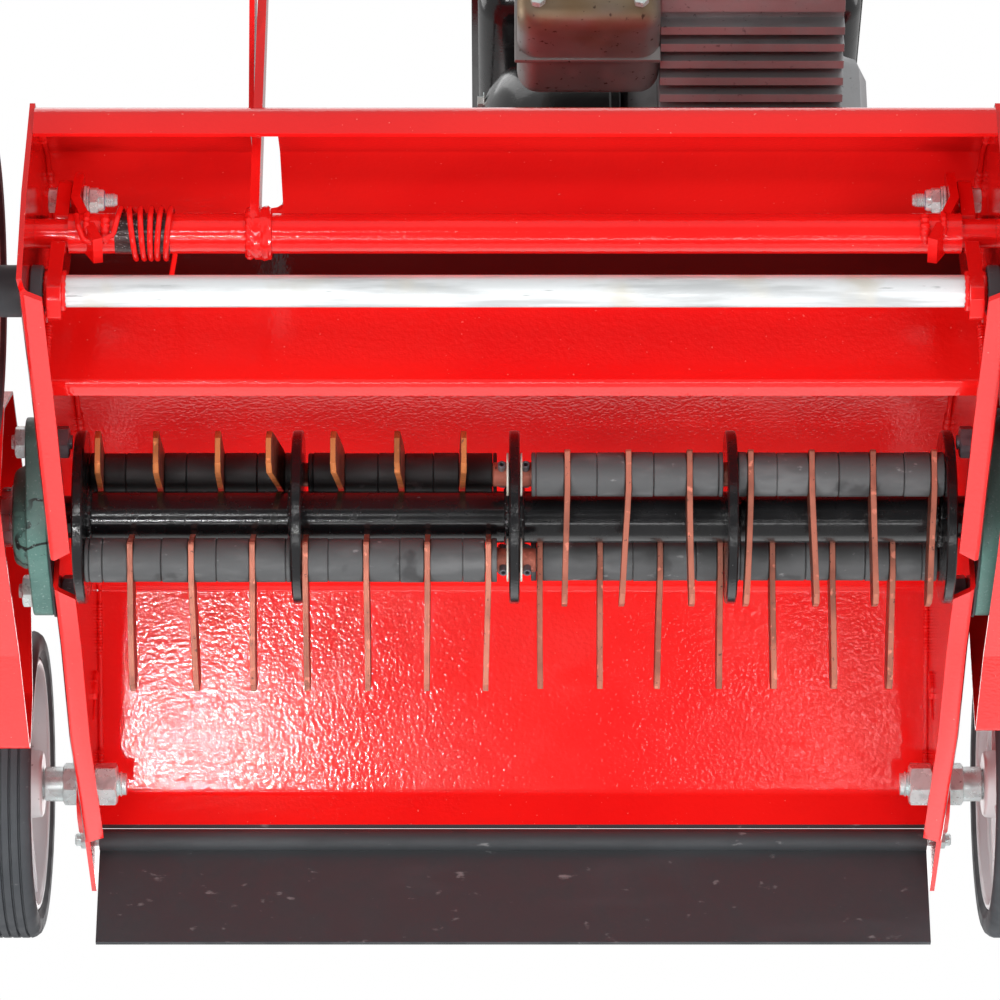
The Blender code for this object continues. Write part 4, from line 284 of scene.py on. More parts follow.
# Painted cast iron with a speckled skin and a few thin cracks: thin strips between two noise levels
GREEN = finish("cast_green", (0.085, 0.185, 0.160), 0.46,
               [((0.008, 0.012, 0.011), 13, 0.560, 0.566, 4.0, (1, 0.7, 1.4)),
                ((0.085, 0.185, 0.160), 13, 0.578, 0.584, 4.0, (1, 0.7, 1.4)),
                ((0.060, 0.145, 0.125), 45, 0.42, 0.70), ((0.17, 0.27, 0.25), 620, 0.60, 0.70, 4.0),
                ((0.03, 0.07, 0.06), 420, 0.66, 0.74, 4.0)],
               None, [(0.28, 240, 4.0)], coat=0.2, coat_rough=0.2)
RUBBER = soft_black("flap_rubber", (0.040, 0.043, 0.047), 0.46, 420, 0.08)
TYRE = soft_black("tyre_rubber", (0.050, 0.054, 0.060), 0.55, 350, 0.10, 0.13)
GRIP = soft_black("grip_rubber", (0.020, 0.021, 0.022), 0.62, 800, 0.08, 0.06)
PLASTIC = soft_black("black_plastic", (0.018, 0.018, 0.020), 0.36, 900, 0.07, 0.08)
BUSH = soft_black("grey_bush", (0.050, 0.053, 0.058), 0.42, 500, 0.06, 0.14)
BELT = soft_black("belt_rubber", (0.025, 0.025, 0.026), 0.70, 700, 0.10, 0.08)
AMBER = soft_black("nut_insert", (0.10, 0.14, 0.30), 0.4, 500, 0.04, 0.3)
ALUMINIUM = finish("cast_aluminium", (0.50, 0.51, 0.52), 0.42,
                   [((0.36, 0.367, 0.374), 14, 0.4, 0.7), ((0.25, 0.255, 0.26), 300, 0.64, 0.74, 4.0)],
                   (0.57, 80, 0.4, 0.7), [(0.16, 420, 4.0)], metallic=0.75)
MUFFLER = finish("muffler_steel", (0.42, 0.41, 0.40), 0.42,
                 [((0.33, 0.23, 0.13), 9, 0.45, 0.7, 3.0, (1, 2, 1)),
                  ((0.16, 0.17, 0.24), 16, 0.6, 0.78, 3.0, (1, 2, 1)),
                  ((0.12, 0.08, 0.06), 260, 0.63, 0.72, 4.0)],
                 (0.6, 70, 0.4, 0.7), [(0.08, 500)], metallic=0.85)
RIM = finish("rim_grey", (0.76, 0.77, 0.78), 0.34,
             [((0.68, 0.69, 0.71), 12, 0.45, 0.7), ((0.36, 0.35, 0.34), 330, 0.69, 0.75, 4.0)],
             (0.46, 60, 0.4, 0.7), [(0.05, 600, 2.0)], metallic=0.15, coat=0.2)
NYLON = finish("nylon", (0.80, 0.77, 0.68), 0.45, [((0.66, 0.61, 0.50), 120, 0.5, 0.7)],
               (0.6, 90, 0.4, 0.7), [(0.05, 400)])


# Shapes, in millimetres unless a point is a vector

M5, M6, M8, M10, M16 = 8, 10, 13, 17, 24           # across the flats of nuts and heads
bm = bmesh.new()                                   # what the shapes are added to, until piece() takes it


def skin(rings, closed=False):
    """Faces between rings in a row, where one point is a pole, with the ends capped unless it's closed."""
    for first, second in zip(rings, rings[1:] + (rings[:1] if closed else [])):
        count = max(len(first), len(second))
        for k in range(count):
            j = (k + 1) % count
            if len(first) == 1:
                bm.faces.new((first[0], second[j], second[k]))
            elif len(second) == 1:
                bm.faces.new((first[k], first[j], second[0]))
            else:
                bm.faces.new((first[k], first[j], second[j], second[k]))
    for end in () if closed else (rings[0], rings[-1]):
        if len(end) > 1:
            bm.faces.new(end)


def across(along):
    u = along.orthogonal().normalized()
    return u, along.cross(u)


def around(axes, angle):
    return axes[0] * cos(angle) + axes[1] * sin(angle)


def facing(turn):
    """The way that stands at an angle above straight ahead."""
    return Vector((0, -cos(turn), sin(turn)))


def spokes(count, first=0.0):
    """Directions round the X axis, each with the one square to it."""
    for k in range(count):
        turn = tau * (k + first) / count
        way = Vector((0, cos(turn), sin(turn)))
        yield way, RIGHT.cross(way)


def lathe(profile, start, along=RIGHT, segments=48, closed=False, shape=None):
    """Turns (radius, reach) points round the line from start."""
    along = along.normalized()
    axes = across(along)
    rings = []
    for radius, reach in profile:
        centre = start + along * reach * MM
        if radius < 0.001:
            rings.append([bm.verts.new(centre)])
            continue
        points = []
        for k in range(segments):
            angle = tau * k / segments
            wide = shape(radius, angle, reach) if shape else radius
            points.append(bm.verts.new(centre + around(axes, angle) * wide * MM))
        rings.append(points)
    skin(rings, closed)


def mirrored(half):
    """A profile that is the same on both sides of its middle, from its half outwards."""
    return [(radius, -reach) for radius, reach in half[::-1]] + half


def ribbed(count, depth, above, until=inf):
    """A lathe's shape with so many ribs, where it is wider than above."""
    def shape(radius, angle, reach):
        return radius + (depth * cos(count * angle) if radius > above and reach < until else 0)
    return shape


def rod(start, end, radius, chamfer=0.5, segments=40):
    """A round bar with chamfered ends."""
    length = (end - start).length / MM
    lathe([(0, 0), (radius - chamfer, 0), (radius, chamfer), (radius, length - chamfer),
           (radius - chamfer, length), (0, length)], start, end - start, segments)


def ring(start, along, outer, inner, width, edge=0.4, segments=40):
    """A flat ring such as a washer or spacer."""
    lathe([(inner, edge), (inner + edge, 0), (outer - edge, 0), (outer, edge), (outer, width - edge),
           (outer - edge, width), (inner + edge, width), (inner, width - edge)],
          start, along, segments, True)


def hexagon(start, end, flats, segments=48):
    """A hexagon nut or head with the turned chamfer on both faces."""
    length = (end - start).length / MM
    along = (end - start).normalized()
    axes = across(along)
    seat = flats / 2 * 0.965
    rings = []
    for far, rim in ((False, False), (False, True), (True, True), (True, False)):
        points = []
        for k in range(segments):
            angle = tau * k / segments
            wide = flats / 2 / cos(angle % (pi / 3) - pi / 6) if rim else seat
            drop = (wide - seat) * 0.55
            reach = length - drop if far else drop
            points.append(bm.verts.new(start + along * reach * MM + around(axes, angle) * wide * MM))
        rings.append(points)
    skin(rings)


def headed(start, out, washer, low, high, flats):
    """A washer (outer, inner, width) at start, and a hexagon between two reaches along out."""
    ring(start, out, *washer)
    hexagon(start + out * low * MM, start + out * high * MM, flats)


def thread(start, end, radius, pitch, segments=32):
    """A threaded end, as close rings with a chamfered tip."""
    length = (end - start).length / MM
    count = max(1, int((length - 1.2) / pitch))
    profile = [(0, 0), (radius - 0.45 * pitch, 0)]
    for k in range(count):
        reach = pitch * k
        profile += [(radius - 0.5 * pitch, reach + 0.06 * pitch), (radius, reach + 0.45 * pitch),
                    (radius, reach + 0.58 * pitch)]
    profile += [(radius - 0.5 * pitch, pitch * count), (radius - 1.0, length), (0, length)]
    lathe(profile, start, end - start, segments)


def sweep(points, radius, sides=20, radii=None, loop=False):
    """A round wire or tube along points, with flat ends or joined to itself."""
    normal = None
    rings = []
    count = len(points)
    for k, point in enumerate(points):
        if loop:
            way = points[(k + 1) % count] - points[k - 1]
        else:
            way = points[min(k + 1, count - 1)] - points[max(k - 1, 0)]
        way.normalize()
        if normal is None:
            normal = way.orthogonal().normalized()
        normal = (normal - way * normal.dot(way)).normalized()
        axes = (normal, way.cross(normal))
        wide = radius * MM * (radii[k] if radii else 1)
        rings.append([bm.verts.new(point + around(axes, tau * j / sides) * wide) for j in range(sides)])
    skin(rings, loop)


def weld(points, size, ripple=1.9, loop=False):
    """A weld bead along points, rippled and a little uneven."""
    dense = []
    for first, second in zip(points, points[1:] + (points[:1] if loop else [])):
        steps = max(1, int((second - first).length / (0.7 * MM)))
        dense += [first.lerp(second, k / steps) for k in range(steps)]
    if not loop:
        dense.append(points[-1])
    radii = []
    drift = 0.0
    for k in range(len(dense)):
        drift = 0.8 * drift + 0.2 * DRAW.uniform(-1, 1)
        radii.append(1 + 0.14 * sin(tau * k * 0.7 / ripple) + 0.28 * drift)
    if not loop:
        for k in range(min(4, len(radii) // 2)):
            radii[k] *= 0.45 + 0.14 * k
            radii[-1 - k] *= 0.45 + 0.14 * k
    sweep(dense, size, 10, radii, loop)


def weld_round(centre, radius, size, ripple, count=72):
    """A weld bead round a tube along X."""
    axes = across(RIGHT)
    weld([centre + around(axes, tau * k / count) * radius * MM for k in range(count)], size, ripple, True)


def plate(outline, offset):
    """A flat plate: a loop of points and how far it is drawn out."""
    skin([[bm.verts.new(p + lift) for p in outline] for lift in (Vector(), offset)])


def block(low, high, radius, segments=3):
    """A box with rounded edges."""
    made = bmesh.ops.create_cube(bm, size=1.0, matrix=Matrix.Translation((low + high) / 2)
                                 @ Matrix.Diagonal((*(high - low), 1)))
    edges = list({edge for vert in made["verts"] for edge in vert.link_edges})
    bmesh.ops.bevel(bm, geom=edges, offset=radius * MM, segments=segments, affect="EDGES", profile=0.5)


def bend(points, radius, steps=8, most=0.48):
    """A path with its corners rounded, over at most that share of each stretch."""
    path = [points[0]]
    for before, here, after in zip(points, points[1:], points[2:]):
        back = before - here
        on = after - here
        reach = min(radius * MM / tan(back.angle(on) / 2), most * back.length, most * on.length)
        first = here + back.normalized() * reach
        last = here + on.normalized() * reach
        for k in range(steps + 1):
            share = k / steps
            path.append(first.lerp(here, share).lerp(here.lerp(last, share), share))
    path.append(points[-1])
    return path


def soften(made, width, limit=32.0, harden=True):
    edges = made.modifiers.new("edges", "BEVEL")
    edges.width = width * MM
    edges.segments = 2
    edges.limit_method = "ANGLE"
    edges.angle_limit = radians(limit)
    edges.harden_normals = harden


def piece(name, finishes, body="chassis", replaced=None, bevel=0.0):
    """Makes the shapes so far a named piece that rides on a body."""
    bmesh.ops.recalc_face_normals(bm, faces=bm.faces)
    mesh = bpy.data.meshes.new(name)
    bm.to_mesh(mesh)
    bm.clear()
    made = put(name, mesh)
    finishes = finishes if isinstance(finishes, tuple) else (finishes,)
    for each in finishes:
        mesh.materials.append(each)
    mesh.shade_smooth()
    mesh.set_sharp_from_angle(angle=radians(38))
    if bevel:
        soften(made, bevel)
    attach(made, body)
    if replaced:
        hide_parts(replaced)
    return made


def smooth_group():
    """Smooth shading that breaks at sharp edges, for the carried-over solids."""
    tree = bpy.data.node_groups.new("smooth_by_angle", "GeometryNodeTree")
    for way in ("INPUT", "OUTPUT"):
        tree.interface.new_socket("Geometry", in_out=way, socket_type="NodeSocketGeometry")
    start = node(tree, "NodeGroupInput")[0]
    plain = node(tree, "GeometryNodeRemoveAttribute", {"Geometry": start, "Name": "custom_normal"})[0]
    smooth = node(tree, "GeometryNodeSetShadeSmooth", {"Geometry": plain})[0]
    angle = node(tree, "GeometryNodeInputMeshEdgeAngle")["Unsigned Angle"]
    sharp = node(tree, "FunctionNodeCompare", {"A": angle, "B": radians(34)})["Result"]
    feeds = {"Geometry": smooth, "Selection": sharp, "Shade Smooth": False}
    node(tree, "NodeGroupOutput", {0: node(tree, "GeometryNodeSetShadeSmooth", feeds, domain="EDGE")[0]})
    return tree


SMOOTH = smooth_group()


def dress(name, material, bevel):
    """Gives a carried-over solid its material and softened edges."""
    made = frame["nodes"][name]
    for slot in made.material_slots:
        slot.material = material
    made.modifiers.new("joined", "WELD").merge_threshold = 0.00002
    soften(made, bevel, 30, False)
    made.modifiers.new("shade", "NODES").node_group = SMOOTH
    flat = made.modifiers.new("flat", "WEIGHTED_NORMAL")
    flat.keep_sharp = True
    flat.weight = 90


# Rotor

ROD_CIRCLE = 35
DISC_PITCH = 125.6
FLAIL_WIDTH = 24.6
FLAIL_THICKNESS = 3.3
FLAIL_REACH = 76
FLAIL_HEAD = 13
FLAIL_ROOT = 12                    # from the rod to where a flail starts to bend
PX = 0.58                          # millimetres a pixel of the photograph at the flails
# Name, side, the rod's and the flails' angle from ahead, and how the flails are spread on the rod
BANKS = (("left_lower", -1, -77.9, -134.0, "A"), ("left_upper", -1, 102.1, -22.6, "B"),
         ("right_upper", 1, 12.1, -115.4, "B"), ("right_lower", 1, -167.9, -122.9, "A"))
# Bay, its flails' places, and where its spacers start and end
PLACES = {"A": (("inner", (15, 50.2, 85.4, 120.6), 9.8, 122.25),
                ("outer", (151, 186.2, 221.4), 128.9, 247.9)),
          "B": (("inner", (30.5, 65.7, 100.9), 9.8, 120.65),
                ("outer", (136.1, 171.3, 206.5, 241.7), 128.9, 247.9))}
# How far each flail's tip leans to the side, in pixels
LEANS = {"left_lower": (-3, -1, 1, 1.2, 0, 4, 1), "left_upper": (2.5, -3, -5.5, -8.5, 2, 1.5, 4.7),
         "right_upper": (-3, -7, 2, -5, 4, 2, -6), "right_lower": (0.5, 0, -3, -1, 2, 2, -3)}


def rod_centre(angle):
    turn = radians(angle)
    return ROD_CIRCLE * cos(turn), ROD_CIRCLE * sin(turn)


def flail(x, centre, hang, lean, bow):
    """One flail: a thin strip with cut corners, bent a little to the side that it leans."""
    along = facing(radians(hang))
    wide = RIGHT.cross(along)
    half = FLAIL_WIDTH / 2
    stations = [(-FLAIL_HEAD, half - 1.2, 0.88), (-FLAIL_HEAD + 0.3, half - 1.0, 1.0), (-11.6, half, 1.0)]
    stations += [(reach, half, 1.0) for reach in (0, 10, 20, 30, 40, 50, 60, 71)]
    stations += [(FLAIL_REACH - 0.3, half - 4.8, 1.0), (FLAIL_REACH, half - 5.0, 0.88)]
    rings = []
    for reach, broad, thick in stations:
        share = max(0.0, reach - FLAIL_ROOT) / (FLAIL_REACH - FLAIL_ROOT)
        side = (lean * share + bow * sin(pi * share)) * PX
        mid = spot(x + side, *centre) + along * reach * MM
        t = FLAIL_THICKNESS / 2 * thick
        loop = [(-t, -broad + 0.3), (-t + 0.3, -broad), (t - 0.3, -broad), (t, -broad + 0.3),
                (t, broad - 0.3), (t - 0.3, broad), (-t + 0.3, broad), (-t, broad - 0.3)]
        rings.append([bm.verts.new(mid + mm(a) + wide * b * MM) for a, b in loop])
    faces = len(bm.faces)
    skin(rings)
    bm.faces.ensure_lookup_table()
    for face in bm.faces[faces:]:
        face.normal_update()
        # Narrow edges and ends take the painted-light edge copper, broad sides the painted-shade side
        # copper
        if abs(face.normal.x) < 0.8:
            face.material_index = 1


def spacers(side, centre, places, start, end):
    """Tubes between the flails: a long gap takes two, and a thin ring stands at each end of the bay."""
    half = FLAIL_THICKNESS / 2
    edges = [start] + [v for p in places for v in (p - half, p + half)] + [end]
    for low, high in zip(edges[::2], edges[1::2]):
        if high - low < 0.8:
            continue
        cuts = [low, high]
        if high - low > 24:
            cuts = [low, (low + high) / 2 + DRAW.uniform(-4.5, 4.5), high]
        if low == start and high - low > 6:
            cuts.insert(1, low + DRAW.uniform(2.6, 3.4))
        if high == end and high - low > 6:
            cuts.insert(-1, high - DRAW.uniform(2.6, 3.4))
        for a, b in zip(cuts, cuts[1:]):
            radius = 13 - DRAW.uniform(0, 0.45)
            ring(spot(min(side * a, side * b), *centre), RIGHT, radius, 8, b - a - DRAW.uniform(0.1, 0.4),
                 0.5, 48)


def rotor():
    for name, side, rod_angle, hang, layout in BANKS:
        centre = rod_centre(rod_angle)
        on = line(side, centre)
        # The left upper bank takes the spacers painted darker as shade, and the orange flail edge copper, a
        # painted-light copy
        edge, grey = (ORANGE_EDGE, SHADED_SPACER) if name == "left_upper" else (EDGE, SPACER)
        leans = iter(LEANS[name])
        for bay, places, start, end in PLACES[layout]:
            body = f"{name}_{bay}_bank"
            for place in places:
                flail(side * place, centre, hang, next(leans), DRAW.uniform(-0.5, 0.5))
            piece(f"flails_set_{name}_{bay}", (FLAIL_SIDE, edge), body, f"flails_{name}_{bay}")
            spacers(side, centre, places, start, end)
            piece(f"spacers_{name}_{bay}", grey, body)

        rod(on(-12.5), on(255.0), 7, 0.8)
        piece("rod_" + name, COPPER, "rotor", "flail_rod_" + name)
        pin = around((VIEW, UP), radians(30 if "upper" in name else -39))
        for x in (6.4, -7.4):
            ring(on(x) - pin * 11.8 * MM, pin, 2.3, 1.2, 23.6, 0.25, 24)
        piece("roll_pins_" + name, DARK_STEEL, "rotor")
        for x in (3.3, -4.5):
            ring(spot(min(side * x, side * (x + 1.2)), *centre), RIGHT, 12.5, 7.05, 1.2, 0.3, 40)
        piece("washers_" + name, NYLON, "rotor")

    lathe([(0, -306), (11.5, -306), (12.5, -305), (12.5, -255.4), (15, -255), (15, 255), (12.5, 255.4),
           (12.5, 322), (11.5, 323), (0, 323)], spot(0, 0, 0), RIGHT, 56)
    piece("rotor_tube", BLACK, "rotor", "rotor_shaft")
    for k in range(-2, 3):
        lathe(mirrored([(50.5, 2.2), (49.7, 3), (15, 3)]), spot(k * DISC_PITCH, 0, 0), RIGHT, 96, True)
    piece("rotor_discs", DISC_BLACK, "rotor")
    for k in range(-2, 3):
        for side in (-1, 1):
            face = k * DISC_PITCH + side * 3.6
            # No bead where the lower flails swing past, nor on the end discs' outer faces
            if k * side != -1 and abs(face) < 255:
                weld_round(spot(face, 0, 0), 15.6, 2.3, 2.8)
    piece("disc_welds", WELD_BLACK, "rotor")


# Bearings

SIDE_PLATE_X = 265
BOLT_REACH = 49.5
BOLT_SLANT = radians(28.4)
BOLT_AT = (BOLT_REACH * cos(BOLT_SLANT), BOLT_REACH * sin(BOLT_SLANT))


def cast_outline(grow):
    """The flange's outline: a round boss between the lobes of its two bolts."""
    boss = 34 + grow
    lobe = 15 + grow
    spread = acos((boss - lobe) / BOLT_REACH)
    points = []
    for sign, radius, first, last in ((1, lobe, -spread, spread), (0, boss, spread, pi - spread),
                                      (-1, lobe, pi - spread, pi + spread),
                                      (0, boss, pi + spread, tau - spread)):
        for k in range(13):
            turn = BOLT_SLANT + first + (last - first) * k / 12
            points.append((sign * BOLT_AT[0] + radius * cos(turn), sign * BOLT_AT[1] + radius * sin(turn)))
    return points


def bearing(name, side):
    on = line(side, (0, 0))
    out = RIGHT * side
    base = SIDE_PLATE_X + 3.3
    # A thin black plate under the casting, a dark line round its rim
    plate([spot(side * base, *p) for p in cast_outline(0.4)], out * 1.2 * MM)
    piece("bearing_black_plate_" + name, PLASTIC)
    plate([spot(side * (base + 1.2), *p) for p in cast_outline(-0.6)], out * 12.3 * MM)
    lathe([(31, 9), (30, 20), (27.5, 24.5), (26, 25.2), (19, 25.2), (19, 9)],
          on(SIDE_PLATE_X), out, 56, True)
    piece("bearing_casting_" + name, GREEN, "chassis", "bearing_" + name, bevel=1.2)
    lathe([(13.2, 4), (18.6, 4), (18.6, 27), (17.4, 27.5), (17.4, 32), (16.8, 32.8), (13.2, 32.8)],
          on(SIDE_PLATE_X), out, 48, True)
    for turn in (0.4, 2.5):
        way = Vector((0, cos(turn), sin(turn)))
        rod(on(294.5) + way * 14 * MM, on(294.5) + way * 17.9 * MM, 2.4, 0.3, 16)
    piece("bearing_insert_" + name, STEEL)
    places = [line(side, (sign * BOLT_AT[0], sign * BOLT_AT[1])) for sign in (-1, 1)]
    for on in places:
        headed(on(281.6), out, (9.6, 5.2, 1.2), 0.3, 6.6, M10)
        thread(on(286), on(290.4), 5, 1.25)
        rod(on(257), on(287), 4.9)
    piece("bearing_bolts_" + name, ZINC)
    for on in places:
        thread(on(262), on(255.4), 5, 1.25)
        hexagon(on(264.7), on(257.0), M10)
    piece("bearing_nuts_" + name, DARK_STEEL)


# Depth gear

TUBE = (217, 47)
CRANK = (TUBE[0] - 44.6 * cos(radians(60.4)), TUBE[1] + 44.6 * sin(radians(60.4)))
AXLE = (225.6, 2)
LEVER_X = -143.7


def depth_gear():
    dress("lift_tube", RED, 0.7)
    dress("front_axle", RED, 0.8)
    lathe(mirrored([(11.12, 246.3), (8.1, 246.6), (8.1, 272.2), (7.4, 272.9), (0, 272.9)]),
          spot(0, *TUBE), RIGHT, 56)
    piece("lift_tube_skin", RED, "lift")
    ring(spot(-220.8, *TUBE), RIGHT, 11.4, 10.5, 30.4, 0.2, 48)
    piece("dark_stretch_under_spring", DARK_TUBE_STRETCH, "lift")
    for x in (LEVER_X - 2.9, LEVER_X + 3.3):
        weld_round(spot(x, *TUBE), 12.2, 2.2, 2.6)
    lathe([(10, 3), (14.2, 3.2), (15.2, 5), (15.0, 7.2), (13.6, 9.4), (10, 10)], spot(LEVER_X, *TUBE),
          RIGHT, 40, True, lambda r, a, s: r + 0.35 * sin(5 * a + s) + 0.25 * sin(11 * a))
    for side in (-1, 1):
        for x, low, high, size in ((225.8, -30, 62, 2.6), (236.2, -10, 80, 1.8)):
            arc = [spot(side * x, *TUBE) + around((VIEW, UP), radians(k)) * 11.9 * MM
                   for k in range(low, high, 8)]
            weld(arc, size, 2.6)
    piece("lift_welds", RED, "lift")

    lathe(mirrored([(8.86, 332), (6.8, 334), (0, 334)]), spot(0, *AXLE), RIGHT, 56)
    piece("axle_skin", AXLE_ZINC, "front_link")
    for side in (-1, 1):
        for x in (246.9, 255.9):
            weld_round(spot(side * x, *AXLE), 9.6, 1.7, 2.2, 48)
    piece("arm_welds", RED, "front_link")
    for name, side in SIDES:
        lathe([(9.1, 257.6), (13.4, 257.6), (14.3, 258.5), (14.3, 263.8), (13.4, 264.7), (10.6, 264.7),
               (10.6, 268.3), (13.4, 268.3), (14.3, 269.2), (14.3, 283.6), (13.4, 284.4), (9.1, 284.4)],
              spot(0, *AXLE), RIGHT * side, 48, True)
        piece("axle_sleeve_" + name, BUSH, "front_link", "axle_bush_" + name)
        link_bolt(name, side)
    spring()
    low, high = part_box("lever_knob")
    foot = Vector(((low.x + high.x) / 2, (low.y + high.y) / 2, low.z))
    lathe([(0, 0), (7.6, 0), (8.6, 0.8), (9.2, 2.0), (13.2, 4.6), (16.0, 8.6), (17, 14), (16.4, 19.4),
           (14, 24.2), (9.6, 27.8), (4.5, 29.6), (0, 30)], foot, UPRIGHT)
    piece("lever_ball", PLASTIC, "lift", "lever_knob")


def link_bolt(name, side):
    """The bolt through the arm and the ear, with its washers and self-locking nut."""
    on = line(side, CRANK)
    out = RIGHT * side
    headed(on(255.5), out, (7.6, 4.1, 1.0), 0.2, 5.5, M8)
    rod(on(232), on(258), 3.95)
    ring(on(241.3), -out, 8.2, 4.1, 1.6)
    headed(on(239.6), -out, (7.9, 4.1, 1.3), 1.4, 6.6, M8)
    lathe([(4.0, 0), (6.1, 0), (6.1, 2.3), (5.4, 3.4), (4.0, 3.4)], on(233.2), -out, 32, True)
    thread(on(231.5), on(222.6), 3.95, 1.25)
    piece("link_bolt_set_" + name, ZINC, "lift", "link_bolt_" + name)
    ring(on(229.6), out, 5.2, 4.0, 0.9, 0.2)
    piece("nut_insert_" + name, AMBER, "lift")


# Places along the tube of each half curl, and of the hook with its rise and its reach to the front
COIL_STATIONS = (-224.0, -217.6, -209.3, -212.9, -204.9, -206.8, -201.1, -200.8, -197.6, -195.4, -192.8,
                 -190.0, -190.0)
HOOK = ((-242.0, 9.8, 6.0), (-240.4, 3.2, 14.5), (-237.4, -4.2, 17.5), (-233.4, -5.8, 17.5),
        (-225.2, -3.4, 16.5), (-221.9, -1.9, 14.8))
COIL_RADIUS = 14.0
CURL_STEPS = 16                    # points in each half curl


def spring():
    """The torsion spring: hook in front of the ear, uneven curls round the tube, leg to the partition."""
    axis = spot(0, *TUBE)
    hook = [axis + mm(x) + UP * rise * MM + VIEW * out * MM for x, rise, out in HOOK]
    curls = []
    for k in range(-CURL_STEPS // 2, 10 * CURL_STEPS + 3):
        place = k / CURL_STEPS + 1
        share = (1 - cos(pi * (place % 1))) / 2
        x = COIL_STATIONS[int(place)] * (1 - share) + COIL_STATIONS[int(place) + 1] * share
        curls.append(axis + mm(x) + around((UP, -VIEW), pi * (place - 1)) * COIL_RADIUS * MM)
    slope = radians(6.7)
    way = Vector((0, cos(slope), sin(slope)))
    reach = (PARTITION_Y - 5.5 * MM - curls[-1].y) / way.y
    leg = [curls[-1] + way * part * reach + mm(x)
           for part, x in ((0.05, 0), (0.6, -1.0), (0.85, -3.9), (1, -5.3))]
    sweep(bend(hook, 3, 4) + curls + bend(leg, 4, 3), 1.6, 16)
    piece("spring_wire", RED, "lift", "torsion_spring")


# Wheels

REAR_AXLE = (-316, 2)
WHEEL_HALF = 21
TYRE_RADIUS = 97
SPOKES = 5


def wheel(name, centre):
    half = WHEEL_HALF
    wall = [(TYRE_RADIUS, 6.5), (96.2, 4.2), (94.2, 1.6), (91.4, 0.3), (85.0, 0.7), (83.5, 2.2),
            (80.3, 3.2)]
    tread = []
    for k in range(5):
        low = -half + 6.5 + k * 5.8
        tread += [(TYRE_RADIUS, low), (TYRE_RADIUS, low + 4.0), (95.2, low + 4.5), (95.2, low + 5.3)]
    lathe([(radius, -half + inset) for radius, inset in wall[:0:-1]] + tread
          + [(radius, half - inset) for radius, inset in wall], centre, RIGHT, 112, True)
    piece(name + "_tyre_skin", TYRE, name, name + "_tyre")

    lathe(mirrored([(74.4, 4.4), (75.2, 17.2), (76.4, 18.6), (78.6, 18.4), (80.2, 17)]), centre,
          RIGHT, 96, True)
    lathe(mirrored([(22.4, 5), (21, half - 1.4), (19.6, half), (9.7, half)]), centre, RIGHT, 56, True)
    for way, over in spokes(SPOKES, 0.5):
        foot = centre + way * 20 * MM + mm(-15)
        tip = centre + way * 76 * MM + mm(-12)
        thick = over * 1.6 * MM
        plate([foot - thick, foot + thick, tip + thick, tip - thick], mm(27))
    piece(name + "_rim_skin", RIM, name, name + "_rim", bevel=0.7)
    web(name, centre)


def web(name, centre):
    """The wheel's disc with five rounded windows."""
    # Radius, and half a window's width there in degrees; the first and last rows are solid
    rows = ((21, 9), (30.5, 9), (31.5, 11.5), (34, 13.4), (40, 16), (50, 19), (60, 22), (66, 23.2),
            (69, 22), (70.5, 19.5), (76, 19.5))
    pitch = 360 / SPOKES
    grid = []
    for radius, wide in rows:
        turns = [wide * k / 5 for k in range(-5, 5)] + [wide + (pitch - 2 * wide) * k / 4 for k in range(4)]
        angles = [pitch * part + turn for part in range(SPOKES) for turn in turns]
        grid.append([bm.verts.new(centre + mm(-4, radius * cos(radians(angle)),
                                              radius * sin(radians(angle)))) for angle in angles])
    count = len(grid[0])
    for r in range(len(grid) - 1):
        for k in range(count):
            if r in (0, len(grid) - 2) or k % 14 >= 10:
                j = (k + 1) % count
                bm.faces.new((grid[r][k], grid[r][j], grid[r + 1][j], grid[r + 1][k]))
    made = piece(name + "_web", RIM, name)
    skin = made.modifiers.new("skin", "SOLIDIFY")
    skin.thickness = 8 * MM
    skin.offset = -1
    soften(made, 1.2)


def wheels():
    for name, side in SIDES:
        out = RIGHT * side
        wheel("front_wheel_" + name, spot(side * 307, *AXLE))
        wheel("rear_wheel_" + name, spot(side * 318, *REAR_AXLE))
        ring(spot(side * 328.4, *AXLE), out, 15, 8.9, 1.6)
        lathe([(0, 5.0), (6.0, 5.0), (8.2, 4.2), (9.6, 2.2), (9.8, 0), (0, 0)],
              spot(side * 330, *AXLE), out, 32)
        piece("axle_cap_" + name, ZINC, "front_link")
        on = line(side, REAR_AXLE)
        hexagon(on(264.7), on(250.3), M16)
        thread(on(251), on(244.6), 8, 2.0, 40)
        rod(on(250), on(346), 7.9, 0.8)
        headed(on(274.3), out, (14.2, 8.1, 1.6), 0.3, 10, M16)
        rod(on(283), on(296), 11, 0.8)
        hexagon(on(340.2), on(347.8), M16)
        piece("wheel_bolt_set_" + name, ZINC, "chassis", "rear_wheel_bolt_" + name)


# Housing

SEAM_X = 263.6                     # the seams between the side plates and the deck
DECK_TOP = 124.4
FLAP_AT = at(-356, -16)
FLAP_HALF = 263.4
FLAP_RADIUS = 7
FLAP_THICK = 3.5


